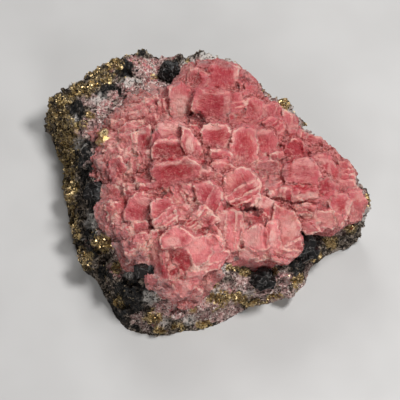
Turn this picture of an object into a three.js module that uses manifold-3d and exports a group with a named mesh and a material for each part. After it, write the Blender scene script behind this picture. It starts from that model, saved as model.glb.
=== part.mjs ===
// Rhodochrosite crystals on a block of granular pyrite, with black sphalerite crystals.
// Millimetres, +Z up. The origin is at the bottom centre of the block, which lies on its flat broken base.

import * as THREE from 'three';
import { mergeVertices } from 'three/addons/utils/BufferGeometryUtils.js';
import { ImprovedNoise } from 'three/addons/math/ImprovedNoise.js';
import Module from 'manifold-3d';

const wasm = await Module();
wasm.setup();

// Driving dimensions
const specimenWidth = 120;
const rimHeight = 27;
const crownHeight = 39;
const bedThickness = 7;
const contactGap = 0.3;
const smallestEdge = 0.02;

// How the photograph sees the specimen: from the front, 60 degrees above the table.
// Places are given as u, v in its 400-pixel frame, and pixelSize turns them into millimetres.
const seenWidth = 326;
const pixelSize = specimenWidth / seenWidth;
const viewElevation = THREE.MathUtils.degToRad(60);
const viewCentre = { u: 204.75, v: 192.5, y: 7.41 };
const viewRight = new THREE.Vector3(1, 0, 0);
const viewUp = new THREE.Vector3(0, Math.sin(viewElevation), Math.cos(viewElevation));
const viewToward = new THREE.Vector3(0, -Math.cos(viewElevation), Math.sin(viewElevation));

function seenPoint(u, v, height) {
  const across = (u - viewCentre.u) * pixelSize;
  const up = (viewCentre.v - v) * pixelSize;
  const along = (up - height * viewUp.z) / viewUp.y + viewCentre.y;
  return new THREE.Vector3(across, along, height);
}

// Outline of the block, clockwise from its left corner: u, v and the height of the point that is seen,
// then how far the rim and the foot of the wall lie inside that point.
const blockOutline = [
  [45, 107, 14, 8, 1], [58, 97, 16, 7, 2], [72, 87, 18, 6, 3], [87, 76, 20, 5, 3],
  [101, 65, 22, 5, 4], [116, 53, 24, 4, 4], [130, 48, 26, 3, 5], [146, 45, 27, 1, 5],
  [163, 51, 27, 1, 5], [179, 49, 27, 1, 5], [196, 47, 27, 0, 5], [213, 50, 27, 0, 5],
  [231, 55, 27, 0, 5], [244, 65, 27, 0, 5], [256, 77, 27, 0, 5], [274, 92, 27, 0, 5],
  [289, 99, 27, 0, 5], [298, 110, 27, 0, 5], [309, 127, 27, 0, 5], [324, 142, 27, 0, 6],
  [338, 154, 27, 0, 6], [352, 172, 26, 0, 6], [362, 188, 26, 0, 6], [370, 199, 25, 1, 6],
  [371, 210, 23, 2, 6], [358, 224, 16, 5, 4], [345, 236, 10, 8, 3], [339, 244, 5, 10, 1],
  [328, 259, 0, 10, 0], [315, 272, 0, 11, 0], [308, 288, 0, 11, 0], [292, 298, 0, 9, 0],
  [270, 304, 0, 7, 0], [248, 309, 0, 7, 0], [232, 320, 0, 8, 0], [218, 327, 0, 9, 0],
  [200, 329, 0, 9, 0], [185, 332, 0, 9, 0], [170, 337, 0, 10, 0], [155, 340, 0, 11, 0],
  [140, 335, 0, 11, 0], [127, 328, 0, 11, 0], [115, 316, 0, 10, 0], [105, 302, 0, 10, 0],
  [93, 284, 0, 10, 0], [80, 272, 0, 10, 0], [73, 257, 0, 10, 0], [68, 238, 0, 10, 0],
  [64, 219, 0, 10, 0], [60, 200, 0, 10, 0], [57, 181, 0, 10, 0], [60, 169, 0, 9, 0],
  [56, 156, 2, 9, 0], [52, 142, 4, 9, 0], [49, 126, 7, 9, 0], [46, 116, 11, 9, 1],
];

// Edge of the pink crust, clockwise from the left: u, v and the height of the rock there.
const crustEdge = [
  [97, 142, 28], [104, 119, 28], [120, 104, 28], [140, 92, 28], [158, 84, 28], [174, 80, 29],
  [184, 64, 29], [200, 58, 29], [220, 59, 29], [238, 64, 29], [251, 75, 29], [263, 91, 29],
  [280, 103, 29], [295, 114, 29], [306, 129, 29], [321, 143, 29], [335, 154, 29], [347, 168, 28],
  [354, 183, 27], [364, 196, 26], [363, 210, 24], [350, 224, 24], [335, 231, 25], [318, 230, 26],
  [304, 236, 26], [296, 250, 26], [280, 261, 26], [262, 263, 26], [245, 261, 26], [230, 263, 26],
  [219, 276, 24], [208, 290, 20], [192, 302, 17], [176, 298, 20], [162, 286, 24], [150, 272, 27],
  [134, 271, 27], [118, 262, 27], [105, 242, 27], [98, 222, 27], [98, 205, 27], [104, 190, 28],
  [100, 170, 28], [93, 157, 28],
];

// Crystals as seen: thickness, lift above the bed and how far the face leans to the right and up,
// in millimetres and degrees, then the u and v of each corner, clockwise.
const crystalList = [
  // Top of the crust
  [7, 3.6, -14, 10, 186, 75, 191, 69, 197, 67, 205, 71, 210, 77, 207, 84, 201, 89, 191, 86],
  [8, 4.4, 4, 12, 209, 67, 222, 61, 233, 62, 239, 67, 236, 80, 231, 89, 218, 92, 209, 86],
  [6, 2.2, 0, 28, 197, 59, 204, 57, 222, 57, 228, 61, 210, 67, 199, 66],
  [6, 2.2, 24, 12, 237, 64, 248, 71, 253, 80, 244, 86, 236, 82],
  [4, 3.2, 18, 6, 238, 79, 246, 78, 248, 86, 240, 88],
  [6, 2.5, 24, 12, 246, 82, 258, 84, 264, 94, 256, 100, 246, 95],
  [8, 5.6, 4, -12, 198, 91, 208, 90, 228, 94, 227, 112, 219, 123, 207, 122, 197, 115, 191, 105],
  [5, 2.8, 10, 2, 229, 95, 240, 93, 245, 104, 240, 114, 229, 114],
  [8, 4.2, 6, -4, 170, 88, 181, 84, 190, 90, 192, 106, 189, 124, 176, 126, 170, 112],
  [6, 2.0, -14, 0, 158, 100, 168, 96, 172, 110, 167, 117, 157, 112],
  [7, 3.6, 14, 2, 246, 99, 255, 96, 263, 101, 263, 115, 254, 122, 246, 118],
  [7, 3.6, 12, -4, 263, 121, 273, 116, 285, 119, 286, 129, 275, 134, 264, 131],
  [5, 2.2, 20, 10, 264, 105, 275, 102, 284, 108, 281, 116, 267, 117],
  [5, 2.2, 22, 12, 284, 110, 296, 114, 300, 124, 290, 126, 285, 120],
  [4, 3.0, 14, 0, 284, 127, 298, 124, 301, 131, 288, 134],
  // Blocks and discs in the middle
  [7, 5.0, -2, -8, 204, 127, 216, 124, 228, 127, 231, 138, 224, 147, 212, 151, 203, 144, 201, 134],
  [6, 3.2, -12, -4, 190, 126, 202, 124, 203, 147, 192, 149, 188, 138],
  [6, 3.2, -4, -12, 210, 153, 221, 150, 232, 153, 231, 163, 218, 166, 208, 160],
  [7, 4.6, 6, -4, 233, 134, 243, 128, 253, 131, 258, 144, 256, 158, 249, 167, 238, 166, 231, 155],
  [6, 3.4, 6, -8, 253, 135, 262, 131, 274, 132, 278, 142, 275, 153, 264, 155, 256, 151],
  [4, 3.6, 6, -30, 269, 154, 283, 152, 285, 159, 271, 162],
  [7, 4.8, -2, -4, 227, 176, 238, 170, 251, 172, 259, 184, 258, 198, 249, 208, 236, 208, 226, 200, 222, 188],
  [6, 2.6, -6, 0, 213, 165, 224, 162, 236, 167, 235, 180, 222, 188, 213, 182],
  [4, 2.2, 6, -6, 258, 180, 266, 178, 267, 189, 259, 190],
  [5, 2.2, 8, -12, 266, 186, 279, 183, 280, 196, 268, 199],
  [6, 3.8, -4, -4, 198, 171, 206, 167, 216, 173, 212, 183, 200, 184],
  [7, 3.8, -6, -12, 195, 186, 211, 183, 220, 193, 224, 206, 217, 220, 206, 214, 197, 200],
  // Large hollow crystal left of the middle
  [7, 2.4, 0, -4, 152, 150, 158, 142, 172, 139, 185, 144, 188, 158, 180, 166, 162, 167, 153, 160],
  [9, 5.8, -4, 20, 157, 127, 167, 122, 184, 126, 188, 134, 185, 142, 170, 142, 160, 138],
  [9, 6.8, 16, 4, 187, 133, 196, 146, 202, 157, 199, 167, 190, 166, 186, 155, 184, 141],
  [9, 6.2, 0, -30, 156, 167, 170, 163, 188, 162, 200, 166, 196, 177, 186, 183, 169, 193, 159, 190, 154, 179],
  [8, 4.8, -26, 2, 151, 140, 157, 128, 161, 139, 157, 150, 154, 161, 149, 153],
  [7, 3.4, -24, 2, 137, 130, 149, 126, 153, 139, 150, 152, 137, 151],
  [7, 3.2, -24, -6, 138, 152, 151, 152, 150, 167, 140, 169],
  [5, 3.2, -14, 10, 136, 178, 146, 176, 158, 183, 156, 188, 137, 184],
  [5, 3.2, -14, 4, 139, 187, 147, 185, 161, 194, 157, 199, 140, 194],
  // Stepped plates on the right
  [7, 4.2, -4, 2, 285, 144, 296, 139, 306, 143, 308, 155, 299, 162, 287, 160],
  [5, 3.6, 10, 22, 289, 128, 299, 129, 325, 141, 323, 148, 308, 144, 290, 136],
  [5, 3.6, 14, 8, 307, 147, 323, 148, 334, 152, 331, 159, 314, 157],
  [5, 3.2, 22, 18, 322, 141, 335, 149, 342, 158, 334, 159, 324, 149],
  [9, 6.2, -4, -4, 284, 167, 295, 161, 312, 161, 319, 175, 315, 186, 300, 189, 287, 185, 281, 176],
  [6, 4.6, -4, -24, 278, 189, 291, 187, 314, 187, 316, 196, 303, 200, 289, 201, 279, 196],
  [4, 3.8, 2, -24, 301, 198, 315, 194, 317, 202, 303, 206],
  [5, 3.0, 0, -20, 294, 207, 305, 204, 316, 206, 315, 214, 296, 216],
  [5, 2.2, 0, -26, 299, 216, 315, 214, 319, 222, 302, 226],
  [7, 5.2, 16, -2, 314, 159, 327, 156, 338, 171, 341, 189, 328, 193, 318, 176],
  [7, 4.8, 6, -12, 316, 183, 326, 178, 337, 186, 335, 198, 322, 202, 313, 195],
  [6, 3.2, 26, 4, 338, 162, 348, 161, 356, 172, 354, 182, 342, 181],
  [5, 3.2, 22, -16, 337, 183, 352, 179, 356, 187, 342, 192],
  [8, 4.2, 14, -12, 331, 196, 345, 193, 351, 203, 348, 216, 335, 217, 329, 206],
  [6, 2.2, 28, -10, 349, 191, 361, 192, 367, 204, 361, 218, 350, 222, 346, 206],
  [6, 2.2, 6, -24, 314, 213, 330, 210, 347, 217, 339, 227, 318, 227],
  // Ridge and plates below the middle
  [8, 5.0, -12, -4, 130, 199, 140, 191, 152, 197, 154, 209, 149, 218, 138, 223, 128, 219, 126, 208],
  [7, 4.4, 2, -10, 154, 201, 170, 197, 177, 208, 179, 221, 170, 228, 158, 227, 152, 213],
  [4, 3.0, -12, -14, 136, 233, 146, 230, 151, 237, 144, 243, 136, 241],
  [5, 2.2, -8, -6, 150, 230, 166, 228, 165, 238, 152, 240],
  [6, 4.2, -10, 4, 183, 222, 203, 205, 213, 212, 194, 230],
  [6, 4.2, -6, -14, 193, 233, 212, 214, 219, 221, 203, 238],
  [6, 4.6, 6, -8, 203, 234, 214, 224, 221, 231, 224, 243, 214, 238],
  [7, 3.8, 4, -16, 219, 213, 232, 211, 240, 216, 242, 238, 236, 249, 223, 249, 218, 232],
  // Large block at the front
  [9, 6.8, -6, 16, 159, 237, 176, 226, 190, 230, 195, 238, 186, 244, 167, 247],
  [9, 5.6, -8, -28, 166, 246, 185, 242, 193, 261, 188, 270, 184, 281, 166, 279, 162, 262],
  [9, 4.0, -34, -14, 148, 252, 159, 237, 167, 246, 163, 275, 156, 278, 149, 265],
  [9, 7.8, 4, -14, 186, 240, 194, 235, 205, 236, 212, 246, 211, 257, 206, 264, 196, 268, 190, 261],
  [7, 7.2, 12, -10, 204, 238, 213, 234, 221, 239, 223, 248, 215, 254, 208, 250],
  [8, 5.6, 24, -22, 210, 251, 221, 247, 228, 251, 226, 261, 218, 271, 207, 269, 207, 258],
  [7, 4.6, 6, -36, 185, 270, 199, 265, 212, 262, 210, 272, 199, 282, 191, 289],
  [6, 2.6, -12, -38, 162, 280, 184, 279, 191, 289, 180, 299, 164, 295, 155, 288],
  // Peaked block at the lower right
  [9, 7.2, -2, 12, 254, 200, 260, 196, 275, 204, 285, 212, 271, 220, 257, 214],
  [9, 7.2, 24, -10, 275, 205, 291, 213, 299, 226, 297, 238, 287, 247, 277, 247, 272, 222],
  [9, 6.6, 6, -22, 266, 223, 277, 222, 280, 247, 266, 250],
  [8, 5.6, -12, -20, 243, 232, 254, 226, 265, 229, 267, 247, 252, 251, 243, 244],
  [7, 4.6, -10, -6, 249, 213, 259, 210, 269, 216, 269, 230, 251, 228],
  [5, 2.8, -10, -30, 237, 251, 247, 247, 254, 253, 248, 262, 239, 259],
  [5, 2.8, -4, -30, 254, 251, 266, 249, 270, 257, 257, 262],
  [5, 2.6, 12, -34, 270, 251, 285, 244, 298, 238, 300, 250, 285, 263, 271, 260],
  // Left slope
  [6, 2.4, -26, -8, 95, 210, 101, 203, 112, 201, 115, 222, 108, 228, 99, 221],
  [6, 2.4, -16, -6, 114, 204, 121, 200, 125, 212, 124, 225, 114, 224],
  [6, 2.6, -16, -8, 147, 171, 156, 169, 158, 181, 147, 182],
  [5, 2.0, -14, 4, 144, 117, 156, 113, 159, 124, 146, 127],
  [5, 2.0, -20, -14, 116, 228, 130, 225, 134, 238, 120, 241],
];

// Pits in the crust: u, v, half width, half height and depth of the hollow below the bed.
const pitList = [
  [197, 120, 8, 8, 5], [170, 152, 11, 8, 3], [235, 207, 10, 4, 5], [167, 195, 5, 3, 4],
  [286, 206, 9, 4, 5],
];

const crystalChamfer = 0.8;
const chamferedFrom = 8;
const crystalScale = 1.04;
const crystalTopShare = 0.88;
const crystalFootShare = 1.12;

const rockNoise = new ImprovedNoise();

function toSolid(geometry) {
  geometry.deleteAttribute('normal');
  geometry.deleteAttribute('uv');
  const merged = mergeVertices(geometry, 1e-4);
  const mesh = new wasm.Mesh({
    numProp: 3,
    vertProperties: new Float32Array(merged.attributes.position.array),
    triVerts: new Uint32Array(merged.index.array),
  });
  return new wasm.Manifold(mesh);
}

function toGeometry(solid) {
  const mesh = solid.getMesh();
  const geometry = new THREE.BufferGeometry();
  geometry.setAttribute('position', new THREE.BufferAttribute(mesh.vertProperties, 3));
  geometry.setIndex(new THREE.BufferAttribute(mesh.triVerts, 1));
  geometry.computeVertexNormals();
  return geometry;
}

// The largest single body of a cut solid, without the crumbs that a cut leaves
function mainBody(solid) {
  const bodies = solid.decompose();
  bodies.sort((a, b) => b.volume() - a.volume());
  return bodies[0];
}

// A closed body of rings, made from a sphere: rowPoint gives the place of each column on each row.
// The sphere's columns run the other way round from the outlines, so they are taken from the last.
function ringBody(columns, rows, rowPoint) {
  const geometry = new THREE.SphereGeometry(1, columns, rows);
  const position = geometry.attributes.position;
  for (let row = 0; row <= rows; row += 1) {
    for (let column = 0; column <= columns; column += 1) {
      const point = rowPoint(row, (columns - column) % columns);
      position.setXYZ(row * (columns + 1) + column, point.x, point.y, point.z);
    }
  }
  return geometry;
}

// Block of rock: walls from the foot to the rim, then the top drawn in towards the middle
const wallHeights = [0, 5, 11, 17, 22.5, rimHeight];
const topShares = [0.92, 0.55];
const topRise = 3;
const wallBelly = 0.6;
const wallRoughness = 1.1;
const topRoughness = 0.7;
const noiseReach = 9;

function roughness(point, amount) {
  const coarse = rockNoise.noise(point.x / noiseReach, point.y / noiseReach, point.z / noiseReach);
  const fine = rockNoise.noise(point.x / 4 + 9, point.y / 4, point.z / 4);
  return amount * (coarse * 1.6 + fine * 0.8);
}

function wallPoint(outlineRow, height) {
  const [u, v, seenHeight, rimInset, footInset] = outlineRow;
  const seen = seenPoint(u, v, seenHeight);
  const inward = new THREE.Vector3(-seen.x, -seen.y, 0).normalize();
  const seenShare = seenHeight / rimHeight;
  const share = height / rimHeight;
  const seenInset = footInset + (rimInset - footInset) * seenShare;
  const inset = footInset + (rimInset - footInset) * share - seenInset * (seenHeight > 0 ? 1 : 0);
  const belly = wallBelly * Math.sin(share * Math.PI);
  const point = seen.clone().addScaledVector(inward, inset - belly);
  point.z = height;
  point.addScaledVector(inward, roughness(point, wallRoughness) + wallRoughness * 0.5);
  return point;
}

function blockGeometry(grow) {
  const columns = blockOutline.length;
  const rows = wallHeights.length + topShares.length + 1;
  const lastWall = wallHeights.length - 1;
  const geometry = ringBody(columns, rows, (row, column) => {
    const fromFoot = rows - row;
    if (fromFoot === 0) {
      return new THREE.Vector3(0, 0, 0);
    }
    const outlineRow = blockOutline[column];
    if (fromFoot - 1 <= lastWall) {
      return wallPoint(outlineRow, wallHeights[fromFoot - 1]);
    }
    if (row === 0) {
      return new THREE.Vector3(0, 0, rimHeight + topRise);
    }
    const share = topShares[fromFoot - 1 - wallHeights.length];
    const rim = wallPoint(outlineRow, rimHeight);
    const point = new THREE.Vector3(rim.x * share, rim.y * share, rimHeight);
    point.z += topRise * (1 - share * share) + roughness(point, topRoughness);
    return point;
  });
  return grow > 0 ? grownGeometry(geometry, grow) : geometry;
}

// The same body with each corner moved outward, to cut neighbours with a gap
function grownGeometry(geometry, grow) {
  geometry.deleteAttribute('normal');
  geometry.deleteAttribute('uv');
  const merged = mergeVertices(geometry, 1e-4);
  merged.computeVertexNormals();
  const position = merged.attributes.position;
  const normal = merged.attributes.normal;
  for (let index = 0; index < position.count; index += 1) {
    position.setXYZ(
      index,
      position.getX(index) + normal.getX(index) * grow,
      position.getY(index) + normal.getY(index) * grow,
      position.getZ(index) + normal.getZ(index) * grow,
    );
  }
  return merged;
}

// Where a point lies between the crust's middle (0) and its edge (1), and the height of that edge
const crustMiddle = { u: 205, v: 185 };
const crustCentre = seenPoint(crustMiddle.u, crustMiddle.v, crownHeight);
const crustPoints = crustEdge.map(([u, v, height]) => seenPoint(u, v, height));

const edgeSlack = 1e-6;

function crustShare(x, y) {
  const dx = x - crustCentre.x;
  const dy = y - crustCentre.y;
  for (let index = 0; index < crustPoints.length; index += 1) {
    const a = crustPoints[index];
    const b = crustPoints[(index + 1) % crustPoints.length];
    const ex = b.x - a.x;
    const ey = b.y - a.y;
    const cross = dx * ey - dy * ex;
    const ax = a.x - crustCentre.x;
    const ay = a.y - crustCentre.y;
    const along = (ax * dy - ay * dx) / cross;
    const reach = (ax * ey - ay * ex) / cross;
    if (reach > 0 && along > -edgeSlack && along < 1 + edgeSlack) {
      return { share: 1 / reach, edgeHeight: a.z + (b.z - a.z) * along };
    }
  }
  return { share: 0, edgeHeight: crownHeight };
}

function bedHeight(x, y) {
  const { share, edgeHeight } = crustShare(x, y);
  const inside = Math.min(1, share);
  const lumps = 0.9 * rockNoise.noise(x / 11, y / 11, 3);
  return edgeHeight + (crownHeight - edgeHeight) * (1 - inside * inside) + lumps;
}

// The point on the bed that is seen at u, v, raised by lift
function bedPoint(u, v, lift) {
  let height = crownHeight;
  let point = seenPoint(u, v, height);
  for (let pass = 0; pass < 12; pass += 1) {
    height = 0.5 * height + 0.5 * (bedHeight(point.x, point.y) + lift);
    point = seenPoint(u, v, height);
  }
  return point;
}

const bedShares = [0.35, 0.68, 0.9, 1];
const bedEdgeDrop = 1.5;

function bedGeometry() {
  const columns = crustPoints.length;
  const rows = bedShares.length + 2;
  return ringBody(columns, rows, (row, column) => {
    const edge = crustPoints[column];
    if (row === 0) {
      return new THREE.Vector3(crustCentre.x, crustCentre.y, bedHeight(crustCentre.x, crustCentre.y));
    }
    if (row === rows) {
      return new THREE.Vector3(crustCentre.x, crustCentre.y, crustPoints[0].z - bedThickness);
    }
    if (row === rows - 1) {
      return new THREE.Vector3(edge.x * 0.95, edge.y * 0.95, edge.z - bedThickness);
    }
    const share = bedShares[row - 1];
    const x = crustCentre.x + (edge.x - crustCentre.x) * share;
    const y = crustCentre.y + (edge.y - crustCentre.y) * share;
    const drop = share === 1 ? bedEdgeDrop : 0;
    return new THREE.Vector3(x, y, bedHeight(x, y) - drop);
  });
}

// One crystal: a plate whose face is seen with the corners of its row, with a chamfer round large faces
function crystalGeometry(thickness, lift, leanRight, leanUp, ...places) {
  const sides = places.length / 2;
  let middleU = 0;
  let middleV = 0;
  for (let corner = 0; corner < sides; corner += 1) {
    middleU += places[corner * 2] / sides;
    middleV += places[corner * 2 + 1] / sides;
  }
  const chamfered = thickness >= chamferedFrom;
  const geometry = new THREE.CylinderGeometry(1, 1, 2, sides, chamfered ? 2 : 1);
  const centre = bedPoint(middleU, middleV, lift);
  const rightSlope = Math.tan(THREE.MathUtils.degToRad(leanRight));
  const upSlope = Math.tan(THREE.MathUtils.degToRad(leanUp));
  const facing = viewToward.clone().addScaledVector(viewRight, rightSlope).addScaledVector(viewUp, upSlope);
  const faceRight = viewRight.clone().addScaledVector(viewToward, -rightSlope);
  const faceUp = viewUp.clone().addScaledVector(viewToward, -upSlope);
  facing.normalize();
  const position = geometry.attributes.position;
  for (let index = 0; index < position.count; index += 1) {
    const level = position.getY(index);
    const localX = position.getX(index);
    const localZ = position.getZ(index);
    const corner = Math.round((Math.atan2(localX, localZ) / (2 * Math.PI)) * sides + sides) % sides;
    const place = ((sides - corner) % sides) * 2;
    let share = Math.hypot(localX, localZ) < 0.5 ? 0 : crystalScale;
    let depth = 0;
    if (level > 0.5) {
      share *= chamfered ? crystalTopShare : 1;
    } else if (level > -0.5) {
      depth = crystalChamfer;
    } else {
      share *= crystalFootShare;
      depth = thickness;
    }
    const right = (places[place] - middleU) * share * pixelSize;
    const up = (middleV - places[place + 1]) * share * pixelSize;
    const point = centre.clone().addScaledVector(faceRight, right).addScaledVector(faceUp, up);
    point.addScaledVector(facing, -depth);
    position.setXYZ(index, point.x, point.y, point.z);
  }
  return geometry;
}

// A lump or a hollow: an uneven ball of faces, squashed to its half sizes
function lumpGeometry(centre, halfX, halfY, halfZ, seed, detail) {
  const geometry = new THREE.IcosahedronGeometry(1, detail);
  const position = geometry.attributes.position;
  const corner = new THREE.Vector3();
  for (let index = 0; index < position.count; index += 1) {
    corner.fromBufferAttribute(position, index);
    const uneven = 1 + 0.35 * rockNoise.noise(corner.x * 1.7 + seed, corner.y * 1.7, corner.z * 1.7);
    position.setXYZ(
      index,
      centre.x + corner.x * halfX * uneven,
      centre.y + corner.y * halfY * uneven,
      centre.z + corner.z * halfZ * uneven,
    );
  }
  return geometry;
}

// Lumps of ore on the walls and the top of the rock: u, v, height and half size
const rockLumps = [
  [88, 85, 27, 4], [88, 113, 28, 4], [124, 80, 28.5, 4], [70, 118, 22, 4], [136, 62, 28, 5],
  [205, 52, 27, 4], [232, 58, 27, 3.5], [292, 103, 27, 4], [67, 150, 14, 4], [66, 196, 12, 4],
  [74, 232, 14, 4.5], [98, 242, 23, 5], [84, 262, 14, 4.5], [112, 283, 14, 5.5], [134, 296, 16, 6],
  [150, 318, 10, 5], [176, 318, 10, 5], [206, 306, 13, 6], [224, 292, 18, 6], [246, 292, 14, 5],
  [272, 290, 14, 5], [292, 272, 18, 5], [322, 252, 12, 5], [332, 240, 18, 4.5], [290, 290, 9, 5],
];

const lumpGrowth = 1.3;
const lumpSink = 0.6;

function blockSolid(grow) {
  let solid = toSolid(blockGeometry(grow));
  rockLumps.forEach(([u, v, height, size], index) => {
    const centre = seenPoint(u, v, height);
    const inward = new THREE.Vector3(-centre.x, -centre.y, 0).normalize();
    centre.addScaledVector(inward, size * lumpSink);
    const half = size + grow * lumpGrowth;
    solid = solid.add(toSolid(lumpGeometry(centre, half, half, half * 0.8, index * 3.7, 0)));
  });
  return solid;
}

// Black crystals and bright pyrite: u, v, height, half sizes and turns about X, Y and Z in degrees
const sphaleriteList = [
  ['sphalerite_upper', 169, 69, 28.5, 4.6, 4.6, 4.0, 20, 30, 10],
  ['sphalerite_left', 95, 193, 26.5, 3.6, 4.8, 4.2, 10, 40, 30],
  ['sphalerite_lower_left', 147, 268, 25.0, 4.6, 4.4, 4.6, 35, 20, 25],
  ['sphalerite_front', 262, 276, 20.5, 3.9, 3.6, 4.2, 15, 25, 50],
  ['sphalerite_right', 305, 243, 22.5, 3.8, 4.4, 7.0, 25, 15, 20],
];

function sphaleriteGeometry(row, grow) {
  const [, u, v, height, halfX, halfY, halfZ, turnX, turnY, turnZ] = row;
  const geometry = new THREE.DodecahedronGeometry(1, 0);
  const turn = new THREE.Euler(
    THREE.MathUtils.degToRad(turnX),
    THREE.MathUtils.degToRad(turnY),
    THREE.MathUtils.degToRad(turnZ),
  );
  geometry.scale(halfX + grow, halfY + grow, halfZ + grow);
  geometry.applyMatrix4(new THREE.Matrix4().makeRotationFromEuler(turn));
  const centre = seenPoint(u, v, height);
  geometry.translate(centre.x, centre.y, centre.z);
  return geometry;
}

// The bright pair of pyrite cubes on the left slope
const pyriteCubes = [
  { u: 103, v: 134, lift: 1.6, size: 3.4, turns: [35, 20, 30] },
  { u: 101, v: 141, lift: 1.2, size: 3.0, turns: [10, 40, 55] },
  { u: 106, v: 140, lift: 1.2, size: 2.6, turns: [50, 10, 15] },
];

function pyriteSolid(grow) {
  let solid = null;
  pyriteCubes.forEach(({ u, v, lift, size, turns }) => {
    const side = size + grow * 2;
    const geometry = new THREE.BoxGeometry(side, side, side);
    const turn = new THREE.Euler(...turns.map(THREE.MathUtils.degToRad));
    geometry.applyMatrix4(new THREE.Matrix4().makeRotationFromEuler(turn));
    const centre = bedPoint(u, v, lift);
    geometry.translate(centre.x, centre.y, centre.z);
    const cube = toSolid(geometry);
    solid = solid ? solid.add(cube) : cube;
  });
  return solid;
}

function crustSolid(blockGrown) {
  let solid = toSolid(bedGeometry());
  pitList.forEach(([u, v, halfWide, halfTall, depth], index) => {
    const centre = bedPoint(u, v, 0.5);
    const pit = lumpGeometry(centre, halfWide * pixelSize, halfTall * pixelSize, depth, index * 5.1, 0);
    solid = solid.subtract(toSolid(pit));
  });
  crystalList.forEach((row) => {
    solid = solid.add(toSolid(crystalGeometry(...row)));
  });
  solid = solid.subtract(blockGrown);
  sphaleriteList.forEach((row) => {
    solid = solid.subtract(toSolid(sphaleriteGeometry(row, contactGap)));
  });
  return solid.subtract(pyriteSolid(contactGap));
}

// Assembly
const colours = {
  rock: { color: 0x5a4f42, roughness: 0.75, metalness: 0.3 },
  crust: { color: 0xcf7f80, roughness: 0.45, metalness: 0 },
  sphalerite: { color: 0x17171a, roughness: 0.25, metalness: 0.1 },
  pyrite: { color: 0xc9a45c, roughness: 0.3, metalness: 0.9 },
};

const specimen = new THREE.Group();

function addPiece(name, solid, look) {
  const body = mainBody(solid).simplify(smallestEdge);
  const mesh = new THREE.Mesh(toGeometry(body), new THREE.MeshStandardMaterial(look));
  mesh.name = name;
  specimen.add(mesh);
}

const block = blockSolid(0);
const blockGrown = blockSolid(contactGap);

addPiece('pyrite_matrix', block, colours.rock);
addPiece('rhodochrosite_crystals', crustSolid(blockGrown), colours.crust);
sphaleriteList.forEach((row) => {
  addPiece(row[0], toSolid(sphaleriteGeometry(row, 0)).subtract(blockGrown), colours.sphalerite);
});
addPiece('pyrite_crystals', pyriteSolid(0).subtract(blockGrown), colours.pyrite);

export default specimen;
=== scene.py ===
# Rhodochrosite crystals on granular pyrite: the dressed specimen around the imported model
import math
import random

import bmesh
import bpy
import numpy as np
from mathutils import Euler, Matrix, Vector


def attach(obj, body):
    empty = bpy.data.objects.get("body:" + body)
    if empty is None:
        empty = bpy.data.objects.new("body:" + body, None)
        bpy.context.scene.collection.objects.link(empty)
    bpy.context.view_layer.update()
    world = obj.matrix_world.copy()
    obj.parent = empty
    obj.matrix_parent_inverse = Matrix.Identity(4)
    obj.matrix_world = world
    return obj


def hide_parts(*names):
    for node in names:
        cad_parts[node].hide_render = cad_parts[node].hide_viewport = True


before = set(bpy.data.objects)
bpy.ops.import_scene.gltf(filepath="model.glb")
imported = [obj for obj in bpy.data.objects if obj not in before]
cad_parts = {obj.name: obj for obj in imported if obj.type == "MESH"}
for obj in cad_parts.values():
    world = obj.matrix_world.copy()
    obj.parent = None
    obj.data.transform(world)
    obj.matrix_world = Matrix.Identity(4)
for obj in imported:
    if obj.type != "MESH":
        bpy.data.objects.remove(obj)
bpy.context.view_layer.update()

mm = 0.001
weldGap = 0.001 * mm

# The photograph looks down on the specimen from the front. u and v are places in its 400-pixel frame.
photoView = {
    "frame": 400,
    "pixel": 120 * mm / 326,
    "centreU": 204.75,
    "centreV": 192.5,
    "centreY": 7.41 * mm,
    "elevation": math.radians(60),
    "distance": 1.1,
    "depth": 30 * mm,
}
pixel = photoView["pixel"]
viewRight = Vector((1, 0, 0))
viewUp = Vector((0, math.sin(photoView["elevation"]), math.cos(photoView["elevation"])))
viewToward = Vector((0, -math.cos(photoView["elevation"]), math.sin(photoView["elevation"])))
viewOrigin = Vector((0, photoView["centreY"], 0))


def seenPoint(u, v, height):
    across = (u - photoView["centreU"]) * pixel
    up = (photoView["centreV"] - v) * pixel
    along = (up - height * viewUp.z) / viewUp.y + photoView["centreY"]
    return Vector((across, along, height))


def seenPlace(points):
    # Where points show in the photograph's frame, for an array of places
    across = points[:, 0] / pixel + photoView["centreU"]
    up = (points[:, 1] - photoView["centreY"]) * viewUp.y + points[:, 2] * viewUp.z
    return across, photoView["centreV"] - up / pixel


# Noise on arrays of places

def smoothStep(low, high, value):
    share = np.clip((value - low) / (high - low), 0, 1)
    return share * share * (3 - 2 * share)


def cellValue(cells, seed):
    # A value from -1 to 1 for each cell, scrambled by large odd numbers
    mixed = cells[..., 0] * 374761393 + cells[..., 1] * 668265263
    mixed = mixed + cells[..., 2] * 1274126177 + seed * 974711
    mixed = (mixed ^ (mixed >> 13)) * 1103515245
    mixed = mixed ^ (mixed >> 16)
    return (mixed & 0xFFFF) / 32767.5 - 1


def threeValues(value, seed):
    # Three values for each place, from seeds that follow each other
    return np.stack([value(seed + axis) for axis in range(3)], axis=1)


def cellParts(points, size):
    scaled = points / size + 1000
    return scaled, np.floor(scaled).astype(np.int64)


def softNoise(points, size, seed):
    scaled, cells = cellParts(points, size)
    part = scaled - cells
    part = part * part * (3 - 2 * part)
    total = np.zeros(len(points))
    for corner in range(8):
        offset = np.array([corner & 1, (corner >> 1) & 1, (corner >> 2) & 1])
        weight = np.prod(np.where(offset == 1, part, 1 - part), axis=1)
        total += weight * cellValue(cells + offset, seed)
    return total


def layeredNoise(points, size, seed, layers=3):
    total = np.zeros(len(points))
    for layer in range(layers):
        total += softNoise(points, size / 2 ** layer, seed + layer * 17) / 2 ** layer
    return total


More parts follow.
